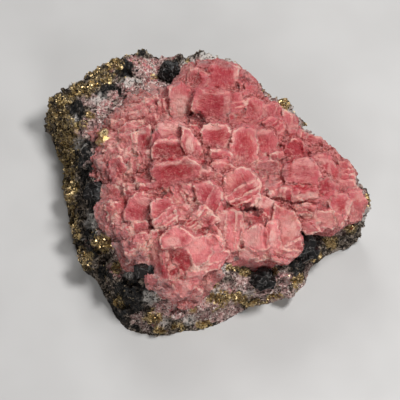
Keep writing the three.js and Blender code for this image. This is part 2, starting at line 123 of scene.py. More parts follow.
def grainCells(points, size, seed):
    # The grain that each place belongs to: its value, its cell and the way from its middle
    scaled, base = cellParts(points, size)
    nearest = np.full(len(points), 9.0)
    owner = base.copy()
    away = np.zeros((len(points), 3))
    for x in (-1, 0, 1):
        for y in (-1, 0, 1):
            for z in (-1, 0, 1):
                cells = base + np.array([x, y, z])
                jitter = 0.42 * threeValues(lambda number: cellValue(cells, number), seed)
                toward = scaled - cells - 0.5 - jitter
                distance = np.linalg.norm(toward, axis=1)
                closer = distance < nearest
                nearest[closer] = distance[closer]
                owner[closer] = cells[closer]
                away[closer] = toward[closer]
    return {"value": cellValue(owner, seed + 5), "away": away * size, "owner": owner}


def facetRelief(points, size, seed, step, slope):
    # Each grain a little higher or lower than the next, with its own tilted face
    grain = grainCells(points, size, seed)
    tilt = threeValues(lambda number: cellValue(grain["owner"], number), seed + 7)
    return grain["value"] * step + np.sum(grain["away"] * tilt, axis=1) * slope


def warped(points, size, seed, amount):
    # Pushes of soft noise, which make straight edges uneven
    return threeValues(lambda number: layeredNoise(points, size, number, 2), seed) * amount


def shifted(points, size, seed, amount):
    # A push for each grain, which makes edges jagged
    owner = grainCells(points, size, seed)["owner"]
    return threeValues(lambda number: cellValue(owner, number), seed + 11) * amount


# Mesh helpers

def readVectors(mesh, name):
    values = np.empty(len(mesh.vertices) * 3)
    mesh.vertices.foreach_get(name, values)
    return values.reshape(-1, 3)


def readShape(mesh):
    return readVectors(mesh, "co"), readVectors(mesh, "normal")


def writePlaces(mesh, places):
    mesh.vertices.foreach_set("co", places.ravel())
    mesh.update()


def storeMeasures(mesh, measures):
    # One attribute for each measure, which the materials read
    for name, values in measures.items():
        kind, part = ("FLOAT", "value") if values.ndim == 1 else ("FLOAT_VECTOR", "vector")
        layer = mesh.attributes.new(name, kind, "POINT")
        layer.data.foreach_set(part, np.asarray(values, dtype=np.float32).ravel())


def addPiece(name, data):
    piece = bpy.data.objects.new(name, data)
    bpy.context.scene.collection.objects.link(piece)
    return piece


def addMesh(name, bm):
    mesh = bpy.data.meshes.new(name)
    bm.to_mesh(mesh)
    bm.free()
    return mesh


def joinInto(bm, part):
    mesh = addMesh("part", part)
    bm.from_mesh(mesh)
    bpy.data.meshes.remove(mesh)


def vertsOf(geom):
    return [item for item in geom if isinstance(item, bmesh.types.BMVert)]


def edgesOf(geom):
    return [item for item in geom if isinstance(item, bmesh.types.BMEdge)]


def openEdges(bm):
    return [edge for edge in bm.edges if edge.is_boundary]


def roundEdges(bm, edges, width):
    bmesh.ops.bevel(bm, geom=edges, offset=width, segments=2, profile=0.5, affect="EDGES", material=-1)


def cutAway(bm, place, normal, outer=True):
    # What lies on one side of a plane is cut off, and the cut is closed with one face
    everything = bm.verts[:] + bm.edges[:] + bm.faces[:]
    cut = bmesh.ops.bisect_plane(bm, geom=everything, dist=weldGap, plane_co=place, plane_no=normal,
                                 clear_outer=outer, clear_inner=not outer)["geom_cut"]
    bmesh.ops.holes_fill(bm, edges=edgesOf(cut), sides=0)


def appliedMesh(piece):
    # The piece's mesh with its modifiers worked in
    shown = piece.evaluated_get(bpy.context.evaluated_depsgraph_get())
    mesh = bpy.data.meshes.new_from_object(shown)
    piece.modifiers.clear()
    old = piece.data
    piece.data = mesh
    bpy.data.meshes.remove(old)
    return mesh


def remeshPiece(piece, voxel):
    remesh = piece.modifiers.new("Join", "REMESH")
    remesh.mode = "VOXEL"
    remesh.voxel_size = voxel
    remesh.adaptivity = 0
    return appliedMesh(piece)


def smoothFaces(mesh, sharpAngle):
    mesh.polygons.foreach_set("use_smooth", [True] * len(mesh.polygons))
    mesh.set_sharp_from_angle(angle=sharpAngle)


def copyOfNode(node, name):
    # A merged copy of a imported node's mesh, in place
    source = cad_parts[node]
    bm = bmesh.new()
    bm.from_mesh(source.data)
    bm.transform(source.matrix_world)
    bmesh.ops.remove_doubles(bm, verts=bm.verts, dist=weldGap)
    return addPiece(name, addMesh(name, bm))


def patchMask(places, uneven, seed, size, patches):
    # Patches as seen: u, v, half width, half height and strength, with a wandering edge
    u, v = seenPlace(places)
    wander = layeredNoise(places, size * mm, seed) * uneven
    mask = np.zeros(len(places))
    for patchU, patchV, halfWide, halfTall, strength in patches:
        distance = np.hypot((u - patchU) / halfWide, (v - patchV) / halfTall)
        mask = np.maximum(mask, strength * smoothStep(1.25, 0.6, distance + wander))
    return mask


def patchMasks(places, kinds):
    return {name: patchMask(places, *kind) for name, kind in kinds.items()}


def outlineDistance(u, v, outline):
    # How far inside an outline the places u, v lie, in pixels, and less than 0 outside it
    distance = np.full(len(u), 999.0)
    within = np.zeros(len(u), dtype=bool)
    for index, (endU, endV) in enumerate(outline):
        startU, startV = outline[index - 1]
        wide, tall = endU - startU, endV - startV
        along = np.clip(((u - startU) * wide + (v - startV) * tall) / (wide * wide + tall * tall), 0, 1)
        distance = np.minimum(distance, np.hypot(u - startU - along * wide, v - startV - along * tall))
        if tall:
            within ^= ((startV > v) != (endV > v)) & (u < startU + (v - startV) * wide / tall)
    return np.where(within, distance, -distance)


# Crust of crystals

# Its edge as seen, with the height of the rock there in mm
crustEdge = [
    (97, 142, 28), (104, 119, 28), (120, 104, 28), (140, 92, 28), (158, 84, 28), (174, 80, 29),
    (184, 64, 29), (200, 58, 29), (220, 59, 29), (238, 64, 29), (251, 75, 29), (263, 91, 29),
    (280, 103, 29), (295, 114, 29), (306, 129, 29), (321, 143, 29), (335, 154, 29), (347, 168, 28),
    (354, 183, 27), (364, 196, 26), (363, 210, 24), (350, 221, 24), (336, 226, 25), (320, 224, 26),
    (304, 226, 26), (294, 238, 26), (286, 252, 26), (274, 260, 26), (258, 262, 26), (244, 261, 26),
    (230, 263, 26), (219, 276, 24), (208, 290, 20), (192, 302, 17), (176, 298, 20), (162, 286, 24),
    (151, 268, 27), (137, 265, 27), (124, 261, 27), (118, 250, 27), (112, 238, 27), (100, 224, 27),
    (98, 205, 27), (104, 190, 28), (100, 170, 28), (93, 157, 28),
]
crustBorder = [corner[:2] for corner in crustEdge]

# thickness and lift in mm, lean to the right and up in degrees, then u and v of each corner, clockwise
crystalRows = [
    # top of the crust
    [7, 3.6, -14, 10, 186, 75, 191, 69, 197, 67, 205, 71, 210, 77, 207, 84, 201, 89, 191, 86],
    [6, 2.4, -16, 12, 172, 82, 182, 65, 190, 62, 194, 68, 192, 78, 185, 88, 176, 90],
    [8, 4.4, 4, 12, 209, 67, 222, 61, 233, 62, 239, 67, 236, 80, 231, 89, 218, 92, 209, 86],
    [6, 3.0, 0, 28, 197, 59, 204, 57, 222, 57, 228, 61, 210, 67, 199, 66],
    [6, 3.0, 24, 12, 237, 64, 248, 71, 253, 80, 244, 86, 236, 82],
    [4, 3.2, 18, 6, 238, 79, 246, 78, 248, 86, 240, 88],
    [6, 3.3, 24, 12, 246, 82, 258, 84, 264, 94, 256, 100, 246, 95],
    [8, 5.6, 4, -12, 198, 91, 208, 90, 228, 94, 227, 112, 219, 123, 207, 122, 197, 115, 191, 105],
    [5, 2.8, 10, 2, 229, 95, 240, 93, 245, 104, 240, 114, 229, 114],
    [8, 4.2, 6, -4, 170, 88, 181, 84, 190, 90, 192, 106, 189, 124, 176, 126, 170, 112],
    [6, 2.8, -14, 0, 158, 100, 168, 96, 172, 110, 167, 117, 157, 112],
    [6, 2.4, -16, 8, 160, 88, 171, 84, 171, 96, 160, 99],
    [7, 3.6, 14, 2, 246, 99, 255, 96, 263, 101, 263, 115, 254, 122, 246, 118],
    [7, 3.6, 12, -4, 263, 121, 273, 116, 285, 119, 286, 129, 275, 134, 264, 131],
    [5, 3.0, 20, 10, 264, 105, 275, 102, 284, 108, 281, 116, 267, 117],
    [5, 3.0, 22, 12, 284, 110, 296, 114, 300, 124, 290, 126, 285, 120],
    [4, 3.0, 14, 0, 284, 127, 298, 124, 301, 131, 288, 134],
    [6, 2.6, 22, 14, 247, 70, 256, 76, 262, 86, 258, 92, 252, 84],
    [6, 3.2, 14, 4, 240, 92, 247, 88, 252, 96, 245, 104, 240, 100],
    [5, 2.6, 16, 4, 272, 134, 285, 131, 287, 142, 277, 146],
    [5, 2.4, 6, -6, 229, 115, 241, 113, 244, 122, 236, 126, 229, 123],
    # blocks and discs in the middle
    [7, 5.0, -2, -8, 204, 127, 216, 124, 228, 127, 231, 138, 224, 147, 212, 151, 203, 144, 201, 134],
    [6, 3.2, -12, -4, 190, 126, 202, 124, 203, 147, 192, 149, 188, 138],
    [5, 2.6, 6, 4, 229, 123, 239, 119, 245, 127, 234, 138],
    [6, 3.2, -4, -12, 210, 153, 221, 150, 232, 153, 231, 163, 218, 166, 208, 160],
    [7, 4.6, 6, -4, 233, 134, 243, 128, 253, 131, 258, 144, 256, 158, 249, 167, 238, 166, 231, 155],
    [6, 3.4, 6, -8, 253, 135, 262, 131, 274, 132, 278, 142, 275, 153, 264, 155, 256, 151],
    [4, 3.6, 6, -30, 269, 154, 283, 152, 285, 159, 271, 162],
    [5, 1.6, 0, -10, 258, 160, 275, 162, 280, 174, 263, 178, 256, 169],
    [7, 4.8, -2, -4, 227, 176, 238, 170, 251, 172, 259, 184, 258, 198, 249, 208, 236, 208, 226,
     200, 222, 188],
    [6, 2.6, -6, 0, 213, 165, 224, 162, 236, 167, 235, 180, 222, 188, 213, 182],
    [4, 3.0, 6, -6, 258, 180, 266, 178, 267, 189, 259, 190],
    [5, 3.0, 8, -12, 266, 186, 279, 183, 280, 196, 268, 199],
    [6, 3.8, -4, -4, 198, 171, 206, 167, 216, 173, 212, 183, 200, 184],
    [7, 3.8, -6, -12, 195, 186, 211, 183, 220, 193, 224, 206, 217, 220, 206, 214, 197, 200],
    # large hollow crystal left of the middle
    [8, 4.9, 0, -4, 152, 150, 158, 142, 172, 139, 185, 144, 188, 158, 180, 166, 162, 167, 153, 160],
    [9, 5.7, -2, 12, 156, 128, 167, 121, 184, 124, 192, 134, 190, 143, 171, 143, 159, 139],
    [9, 5.8, 10, 2, 182, 128, 191, 133, 198, 145, 203, 157, 201, 169, 189, 169, 185, 156, 181, 143],
    [9, 6.2, 2, -28, 154, 167, 170, 162, 188, 161, 201, 165, 198, 177, 187, 184, 170, 193, 159,
     190, 153, 179],
    [8, 5.0, -22, 2, 151, 140, 157, 128, 161, 139, 157, 150, 154, 161, 149, 153],
    [7, 3.4, -24, 2, 137, 130, 149, 126, 153, 139, 150, 152, 137, 151],
    [7, 3.2, -24, -6, 138, 152, 151, 152, 150, 167, 140, 169],
    [5, 3.2, -14, 10, 136, 178, 146, 176, 158, 183, 156, 188, 137, 184],
    [5, 3.2, -14, 4, 139, 187, 147, 185, 161, 194, 157, 199, 140, 194],
    [5, 2.6, -6, 0, 174, 186, 191, 183, 198, 195, 187, 204, 173, 199],
    # stepped plates on the right
    [7, 4.6, -4, 2, 283, 150, 285, 143, 291, 140, 298, 140, 303, 145, 304, 152, 301, 158, 294, 161,
     287, 158],
    [5, 3.6, 10, 22, 289, 128, 299, 129, 325, 141, 323, 148, 308, 144, 290, 136],
    [5, 3.6, 14, 8, 307, 147, 323, 148, 334, 152, 331, 159, 314, 157],
    [5, 3.2, 22, 18, 322, 141, 335, 149, 342, 158, 334, 159, 324, 149],
    [9, 6.8, -4, 2, 284, 167, 295, 161, 312, 161, 319, 175, 315, 186, 300, 189, 287, 185, 281, 176],
    [6, 4.6, -4, -24, 278, 189, 291, 187, 314, 187, 316, 196, 303, 200, 289, 201, 279, 196],
    [4, 3.8, 2, -24, 301, 198, 315, 194, 317, 202, 303, 206],
    [5, 3.0, 0, -20, 294, 207, 305, 204, 316, 206, 315, 214, 296, 216],
    [5, 3.0, 0, -26, 299, 216, 315, 214, 319, 222, 302, 226],
    [7, 5.6, 18, -2, 314, 159, 327, 156, 338, 171, 341, 189, 328, 193, 318, 176],
    [7, 5.2, 6, -14, 316, 183, 326, 178, 337, 186, 335, 198, 322, 202, 313, 195],
    [6, 3.2, 26, 4, 338, 162, 348, 161, 356, 172, 354, 182, 342, 181],
    [5, 3.2, 22, -16, 337, 183, 352, 179, 356, 187, 342, 192],
    [8, 4.2, 14, -12, 331, 196, 345, 193, 351, 203, 348, 216, 335, 217, 329, 206],
    [6, 3.0, 28, -10, 349, 191, 361, 192, 367, 204, 361, 218, 350, 222, 346, 206],
    [6, 3.0, 6, -24, 314, 213, 330, 210, 347, 217, 339, 227, 318, 227],
    [5, 2.6, 2, -24, 300, 223, 316, 221, 321, 231, 305, 235],
    # ridge and plates below the middle
    [8, 5.0, -12, -4, 130, 199, 140, 191, 152, 197, 154, 209, 149, 218, 138, 223, 128, 219, 126, 208],
    [7, 4.4, 2, -10, 154, 201, 170, 197, 177, 208, 179, 221, 170, 228, 158, 227, 152, 213],
    [4, 3.0, -12, -14, 136, 233, 146, 230, 151, 237, 144, 243, 136, 241],
    [5, 3.0, -8, -6, 150, 230, 166, 228, 165, 238, 152, 240],
    [6, 4.2, -10, 4, 183, 222, 203, 205, 213, 212, 194, 230],
    [6, 4.2, -6, -14, 193, 233, 212, 214, 219, 221, 203, 238],
    [6, 4.6, 6, -8, 203, 234, 214, 224, 221, 231, 224, 243, 214, 238],
    [7, 3.8, 4, -16, 219, 213, 232, 211, 240, 216, 242, 238, 236, 249, 223, 249, 218, 232],
    # large block at the front
    [9, 6.8, -6, 10, 161, 236, 170, 229, 179, 226, 190, 231, 194, 237, 187, 244, 176, 247, 164, 247],
    [8, 4.4, -14, -26, 165, 247, 186, 246, 192, 259, 195, 266, 187, 273, 183, 283, 172, 279, 163, 262],
    [8, 4.0, -34, -12, 149, 251, 160, 238, 167, 248, 169, 266, 171, 280, 158, 278, 150, 264],
    [9, 8.2, 6, -14, 187, 243, 194, 237, 204, 236, 212, 241, 212, 252, 208, 260, 197, 267, 191, 259],
    [7, 7.2, 14, -6, 205, 236, 214, 233, 222, 239, 223, 247, 213, 251, 208, 246],
    [8, 6.0, 22, -24, 211, 250, 222, 248, 228, 252, 224, 261, 214, 267, 208, 262],
    [7, 7.0, 4, -18, 186, 270, 200, 265, 214, 261, 222, 262, 218, 268, 204, 272, 189, 275],
    [7, 4.8, 2, -46, 187, 274, 205, 271, 200, 280, 192, 290, 187, 284],
    [6, 2.6, -12, -38, 162, 280, 184, 279, 191, 289, 180, 299, 164, 295, 155, 288],
    [5, 2.6, 6, -44, 179, 297, 196, 283, 204, 290, 191, 303],
    [5, 2.0, -24, -36, 145, 274, 160, 277, 161, 290, 148, 287],
    # peaked block at the lower right
    [9, 7.2, -2, 12, 254, 200, 260, 196, 275, 204, 285, 212, 271, 220, 257, 214],
    [9, 7.2, 24, -10, 275, 205, 291, 213, 299, 226, 297, 238, 287, 247, 277, 247, 272, 222],
    [9, 6.6, 6, -22, 266, 223, 277, 222, 280, 247, 266, 250],
    [8, 5.6, -12, -20, 243, 232, 254, 226, 265, 229, 267, 247, 252, 251, 243, 244],
    [7, 4.6, -10, -6, 249, 213, 259, 210, 269, 216, 269, 230, 251, 228],
    [5, 2.8, -10, -30, 237, 251, 247, 247, 254, 253, 248, 262, 239, 259],
    [5, 2.8, -4, -30, 254, 251, 266, 249, 270, 257, 257, 262],
    [5, 2.6, 12, -34, 270, 251, 285, 244, 298, 238, 300, 250, 285, 263, 271, 260],
    # left slope
    [5, 2.0, -20, 10, 104, 118, 117, 108, 124, 114, 113, 124],
    [5, 2.2, -14, 12, 139, 101, 157, 93, 160, 103, 147, 111],
    [5, 2.4, -18, 4, 116, 130, 130, 124, 134, 134, 122, 139],
    [5, 2.0, -24, 4, 99, 143, 112, 136, 119, 145, 105, 150],
    [6, 2.2, -26, -2, 94, 158, 103, 162, 109, 172, 104, 182, 97, 172],
    [6, 2.2, -22, -4, 103, 184, 116, 184, 124, 196, 112, 202, 101, 198],
    [6, 2.6, -20, -8, 112, 224, 127, 224, 132, 236, 118, 240, 110, 234],
    [6, 2.4, -20, -14, 132, 222, 147, 220, 150, 232, 136, 236],
    [6, 2.4, -18, -18, 128, 240, 144, 238, 147, 250, 132, 254],
    [6, 2.6, -22, 0, 109, 161, 121, 156, 129, 168, 127, 182, 114, 184, 106, 172],
    [6, 3.2, -26, -8, 95, 210, 101, 203, 112, 201, 115, 222, 108, 228, 99, 221],
    [6, 3.2, -16, -6, 114, 204, 121, 200, 125, 212, 124, 225, 114, 224],
    [5, 2.6, -20, 2, 120, 136, 134, 133, 137, 150, 124, 153],
    [6, 2.6, -16, -8, 147, 171, 156, 169, 158, 181, 147, 182],
    [6, 2.6, -20, -2, 128, 160, 138, 157, 141, 176, 130, 179],
    [5, 2.3, -20, 14, 123, 107, 140, 102, 147, 114, 131, 119],
    [5, 2.8, -14, 4, 144, 117, 156, 113, 159, 124, 146, 127],
    [4, 2.0, -24, 10, 111, 122, 124, 118, 129, 130, 114, 134],
    [4, 2.4, -16, 4, 130, 121, 143, 119, 145, 130, 132, 134],
    [4, 2.0, -26, 0, 103, 150, 118, 146, 121, 158, 106, 161],
    [5, 2.4, -18, -4, 124, 185, 136, 183, 135, 196, 125, 197],
    [4, 2.2, -26, -14, 105, 225, 115, 227, 114, 238, 109, 236],
    [5, 2.8, -20, -14, 116, 228, 130, 225, 134, 238, 120, 241],
    [5, 2.6, -18, -20, 122, 243, 138, 242, 145, 254, 130, 261],
    [4, 2.0, -24, -20, 114, 243, 122, 244, 125, 256, 118, 255],
    [4, 2.2, -14, -18, 146, 242, 157, 240, 153, 251, 144, 253],
]

crustStyle = {
    "seed": 7,
    "voxel": 0.48 * mm,
    "sharpAngle": math.radians(28),
    # The bed under the crystals
    "crown": 39 * mm,
    "middle": (205, 185),
    "bedLumps": 0.9 * mm,
    "bedLumpSize": 11 * mm,
    "bedRise": 0.6 * mm,
    "bedSink": 1.5 * mm,
    "bedRings": 12,
    "slopeRise": 0.9 * mm,
    "skirtShare": 0.95,
    "skirtDepth": 1 * mm,
    "floorHeight": 11 * mm,
    "floorFront": -47 * mm,
    "floorSlope": 0.19,
    # The shape of each crystal
    "scale": 1.07,
    "extraDepth": 1.6 * mm,
    "footShare": 1.14,
    "sideShare": 0.2,
    "cornerRound": 0.5 * mm,
    "rimBevel": 0.12 * mm,
    # Growth steps on the lifted, thinner ones
    "steppedFrom": 2,
    "plainFrom": 8,
    "stepReach": 4.5,
    "firstStep": -0.15,
    "nextStep": 0.4,
    "stepSpread": 0.12,
    "stepLift": (0.25, 0.5),
    "stepLean": 2,
    "stepShare": 0.8,
    "leastEdge": 0.8,
    # Small crystals in the gaps
    "smallCount": 1300,
    "smallSpread": 0.97,
    "smallTurn": 2.39996,
    "smallHalf": (2.2, 5.0),
    "smallLift": (0.6, 2.8),
    "smallLean": 34,
    "smallThickness": 3.5,
    # Relief of the surface: how much, and how large each piece of it is
    "grain": 0.12 * mm,
    "grainSize": 1.5 * mm,
    "facets": 0.13 * mm,
    "facetSize": 1.7 * mm,
    "facetSlope": 0.6 / mm,
    "blocks": 0.1 * mm,
    "blockSize": 4.2 * mm,
    "blockSlope": 0.35 / mm,
    "chips": 0.55 * mm,
    "chipSize": 1.8 * mm,
    "chipFrom": (0.35, 0.9),
    "layers": 0.05 * mm,
    "layerSize": 0.62 * mm,
    "layerBend": 3 * mm,
    "sideFrom": 0.7 * mm,
    "rimWidth": (1.4 * mm, 0.2 * mm),
    "warp": 0.45 * mm,
    "warpSize": 6 * mm,
    "jag": 0.42 * mm,
    "jagSize": 2.3 * mm,
    "crater": 0.8 * mm,
    "movesFrom": (12 * mm, 16 * mm),
    # How far clefts are filled, and from where to where on the photograph
    "fill": 0.16,
    "fillFrom": 0.35 * mm,
    "crestFill": 0.3,
    "crestV": (130, 90),
    "leftFill": 0.5,
    "leftU": (140, 118),
    # Where the bed shows, and the grey border of the crust
    "bareFrom": (0.3 * mm, 1.2 * mm),
    "borderWidth": (9, 1),
    "borderU": (320, 180),
    # Depth below the surroundings: the width of a step, how many steps, and the depth that counts as 1
    "hollow": (0.8 * mm, 3, 2 * mm),
    "basin": (1.6 * mm, 8, 3 * mm),
    "swirl": 34 * mm,
}

# Small crystals in patches: u, v, half width, half height and how many. Larger flat ones overlap on the
# left slope, fine ones fill the gaps, raised ones sit on large crystals, and foot ones lie below the front
# block. The finest thin out over the rock beyond the crust's edge.
slopePatches = [
    (112, 150, 18, 46, 46), (112, 222, 14, 36, 30), (134, 112, 26, 14, 26), (133, 168, 12, 30, 12),
]
finePatches = [
    (182, 193, 13, 11, 26), (170, 116, 10, 14, 14), (224, 174, 11, 12, 20), (268, 168, 12, 9, 16),
    (288, 212, 12, 10, 16), (330, 220, 20, 8, 26), (262, 254, 22, 6, 30), (172, 288, 16, 12, 26),
    (150, 262, 8, 16, 14), (243, 118, 9, 8, 10), (140, 250, 14, 14, 30), (128, 98, 12, 7, 20),
    (188, 296, 12, 8, 20),
]
raisedPatches = [
    (178, 264, 13, 18, 34), (163, 262, 6, 16, 8),
]
footPatches = [
    (186, 290, 14, 9, 30), (166, 288, 12, 8, 16),
]
outerPatches = [
    (100, 110, 6, 6, 10), (150, 86, 16, 5, 16), (186, 300, 14, 8, 18), (97, 174, 5, 12, 14),
    (94, 134, 6, 8, 10),
]

# Each kind with its half width in pixels, lift in mm, lean, and how far inside the outline it must lie
crystalPatches = [
    (slopePatches, (4.5, 9), (0.3, 1.7), 24, 1.5),
    (finePatches, (2.2, 5.0), (0.4, 1.6), 34, 1),
    (raisedPatches, (1.6, 3.4), (3.9, 5.0), 34, 1),
    (footPatches, (1.6, 4.5), (2.4, 3.6), 30, 1),
    (outerPatches, (1.6, 3.4), (-0.7, 0.1), 34, -14),
]

middleU, middleV = crustStyle["middle"]
crustMiddle = seenPoint(middleU, middleV, crustStyle["crown"])
crustCorners = [seenPoint(u, v, height * mm) for u, v, height in crustEdge]


def rowCorners(row):
    # The corners of a crystal's row, as u and v
    return list(zip(row[4::2], row[5::2]))


def crustShare(x, y):
    # 0 at the crust's middle and 1 at its edge, with the height of the rock at that edge
    dx, dy = x - crustMiddle.x, y - crustMiddle.y
    for index, first in enumerate(crustCorners):
        second = crustCorners[(index + 1) % len(crustCorners)]
        ex, ey = second.x - first.x, second.y - first.y
        ax, ay = first.x - crustMiddle.x, first.y - crustMiddle.y
        cross = dx * ey - dy * ex
        if abs(cross) < 1e-12:
            continue
        along = (ax * dy - ay * dx) / cross
        reach = (ax * ey - ay * ex) / cross
        if reach > 0 and -1e-6 < along < 1 + 1e-6:
            return 1 / reach, first.z + (second.z - first.z) * along
    return 0.0, crustStyle["crown"]


def bedHeight(x, y):
    share, edgeHeight = crustShare(x, y)
    share = min(share, 1)
    lump = softNoise(np.array([[x, y, 0]]), crustStyle["bedLumpSize"], 3)[0] * crustStyle["bedLumps"]
    return edgeHeight + (crustStyle["crown"] - edgeHeight) * (1 - share * share) + lump


def bedPoint(u, v, lift):
    # The place on the bed that shows at u, v, found by halving the way to it
    height = crustStyle["crown"]
    for _ in range(12):
        point = seenPoint(u, v, height)
        height = 0.5 * height + 0.5 * (bedHeight(point.x, point.y) + lift)
    return seenPoint(u, v, height)


def crystalMatrix(u, v, lift, leanRight, leanUp):
    # Columns: across the face, up the face, and out of it, as the face shows in the photograph
    rightSlope, upSlope = math.tan(math.radians(leanRight)), math.tan(math.radians(leanUp))
    facing = (viewToward + viewRight * rightSlope + viewUp * upSlope).normalized()
    matrix = Matrix((viewRight - viewToward * rightSlope, viewUp - viewToward * upSlope, facing))
    matrix = matrix.transposed().to_4x4()
    matrix.translation = bedPoint(u, v, lift * mm)
    return matrix


def addCrystal(bm, row, small=False):
    thickness, lift, leanRight, leanUp = row[:4]
    seen = rowCorners(row)
    u = sum(corner[0] for corner in seen) / len(seen)
    v = sum(corner[1] for corner in seen) / len(seen)
    size = pixel * crustStyle["scale"]
    corners = [Vector(((cornerU - u) * size, (v - cornerV) * size, 0)) for cornerU, cornerV in seen][::-1]
    part = bmesh.new()
    bmesh.ops.create_circle(part, cap_ends=True, segments=len(corners), radius=1)
    for vert, corner in zip(part.verts, corners):
        vert.co = corner
    bmesh.ops.recalc_face_normals(part, faces=part.faces)
    top = part.faces[0]
    if top.normal.z < 0:
        top.normal_flip()
    depth = thickness * mm + crustStyle["extraDepth"]
    place = crystalMatrix(u, v, lift, leanRight, leanUp)
    # The sides run down nearly along the view, so that the face is what shows
    down = place.to_3x3().inverted() @ (-viewToward * depth)
    down = down.lerp(Vector((0, 0, -depth)), crustStyle["sideShare"])
    for vert in vertsOf(bmesh.ops.extrude_face_region(part, geom=[top])["geom"]):
        vert.co = vert.co * crustStyle["footShare"] + down
    bmesh.ops.recalc_face_normals(part, faces=part.faces)
    sides = [corner - corners[index - 1] for index, corner in enumerate(corners)]
    if not small:
        least = min(side.length for side in sides)
        upright = [edge for edge in part.edges if abs(edge.verts[0].co.z - edge.verts[1].co.z) > depth / 2]
        roundEdges(part, upright, min(crustStyle["cornerRound"], least * 0.25))
        rim = [edge for edge in part.edges if min(vert.co.z for vert in edge.verts) > -depth / 4]
        roundEdges(part, rim, crustStyle["rimBevel"])
    bmesh.ops.transform(part, matrix=place, verts=part.verts)
    joinInto(bm, part)
    along = max(sides, key=lambda side: side.length).normalized()
    return {"inverse": place.inverted(), "corners": corners, "depth": -down.z, "down": down,
            "along": along, "minor": float(small)}


def stepRows(row, draw):
    # Growth steps: the part of a large face beyond a line along one of its edges, each a little higher
    style = crustStyle
    thickness, lift, leanRight, leanUp = row[:4]
    seen = [Vector(corner) for corner in rowCorners(row)]
    middle = sum(seen, Vector((0, 0))) / len(seen)
    reach = sum((corner - middle).length for corner in seen) / len(seen)
    edge = draw.randrange(len(seen))
    along = (seen[edge] - seen[edge - 1]).normalized()
    across = Vector((-along.y, along.x)) * draw.choice((-1, 1))
    spread, lean = style["stepSpread"], style["stepLean"]
    rows = []
    for step in range(int(reach / style["stepReach"])):
        line = reach * (style["firstStep"] + style["nextStep"] * step + draw.uniform(-spread, spread))
        kept = []
        for index, corner in enumerate(seen):
            before = seen[index - 1]
            start, stop = (before - middle).dot(across) - line, (corner - middle).dot(across) - line
            if start * stop < 0:
                kept.append(before.lerp(corner, start / (start - stop)))
            if stop >= 0:
                kept.append(corner)
        sides = [(corner - kept[index - 1]).length for index, corner in enumerate(kept)]
        if len(kept) < 3 or min(sides) < style["leastEdge"]:
            continue
        rise = lift + draw.uniform(*style["stepLift"]) * (step + 1)
        places = [number for corner in kept for number in corner]
        rows.append([thickness * style["stepShare"], rise, leanRight + draw.uniform(-lean, lean),
                     leanUp + draw.uniform(-lean, lean), *places])
    return rows


def smallRow(u, v, half, lift, lean, draw):
    # Four uneven corners round a place
    turned = draw.uniform(0, math.pi / 2)
    squash = draw.uniform(0.65, 1)
    places = []
    for corner in range(4):
        angle = turned - corner * math.pi / 2
        places.append(u + half * math.cos(angle) * draw.uniform(0.85, 1.1))
        places.append(v - half * math.sin(angle) * squash)
    leanRight, leanUp = draw.uniform(-lean, lean), draw.uniform(-lean, lean)
    return [crustStyle["smallThickness"], lift, leanRight, leanUp, *places]


def smallCrystalRows(draw):
    # An even spread over the gaps between the large crystals, then the patches
    style = crustStyle
    count = style["smallCount"]
    spots = []
    for index in range(count):
        angle = index * style["smallTurn"]
        reach = math.sqrt((index + 0.5) / count) * style["smallSpread"]
        edgeU, edgeV = crustBorder[int(angle / (2 * math.pi) % 1 * len(crustBorder))]
        spots.append((middleU + (edgeU - middleU) * reach, middleV + (edgeV - middleV) * reach))
    u, v = np.array(spots).T
    bare = np.ones(len(spots), dtype=bool)
    for row in crystalRows:
        bare &= outlineDistance(u, v, rowCorners(row)) < 0.5
    rows = []
    for index in np.nonzero(bare)[0]:
        half, lift = draw.uniform(*style["smallHalf"]), draw.uniform(*style["smallLift"])
        rows.append(smallRow(*spots[index], half, lift, style["smallLean"], draw))
    for patches, half, lift, lean, least in crystalPatches:
        for middle, across, halfWide, halfTall, times in patches:
            for _ in range(times):
                u, v = draw.gauss(middle, halfWide / 2), draw.gauss(across, halfTall / 2)
                if outlineDistance(np.array([u]), np.array([v]), crustBorder)[0] > least:
                    rows.append(smallRow(u, v, draw.uniform(*half), draw.uniform(*lift), lean, draw))
    return rows


def addBed(bm):
    # A domed sheet of rings inside the crust's edge, closed below by a skirt
    style = crustStyle
    part = bmesh.new()
    count, rings = len(crustCorners), style["bedRings"]
    bmesh.ops.create_circle(part, cap_ends=False, segments=count * 2, radius=1)
    edges = list(part.edges)
    for ring in range(1, rings):
        grown = bmesh.ops.extrude_edge_only(part, edges=edges)["geom"]
        verts = set(vertsOf(grown))
        edges = [edge for edge in edgesOf(grown) if all(vert in verts for vert in edge.verts)]
        for vert in verts:
            vert.co = vert.co.normalized() * (1 - ring / rings)
    bmesh.ops.holes_fill(part, edges=edges, sides=0)
    for vert in part.verts:
        share = vert.co.length
        angle = (math.atan2(vert.co.y, vert.co.x) / (2 * math.pi)) % 1 * count
        edge = crustCorners[int(angle) % count].lerp(crustCorners[(int(angle) + 1) % count], angle % 1)
        x = crustMiddle.x + (edge.x - crustMiddle.x) * share
        y = crustMiddle.y + (edge.y - crustMiddle.y) * share
        vert.co = (x, y, bedHeight(x, y) + (-style["bedSink"] if share > 0.999 else style["bedRise"]))
    patches = [(*patch[:4], 1) for patch in slopePatches]
    slope = patchMask(np.array([vert.co for vert in part.verts]), 0.35, 5, 5, patches)
    for vert, share in zip(part.verts, slope):
        vert.co.z += style["slopeRise"] * share
    for vert in vertsOf(bmesh.ops.extrude_edge_only(part, edges=openEdges(part))["geom"]):
        vert.co.x *= style["skirtShare"]
        vert.co.y *= style["skirtShare"]
        floor = style["floorHeight"] + (vert.co.y - style["floorFront"]) * style["floorSlope"]
        vert.co.z = floor - style["skirtDepth"]
    bmesh.ops.holes_fill(part, edges=openEdges(part), sides=0)
    bmesh.ops.recalc_face_normals(part, faces=part.faces)
    joinInto(bm, part)


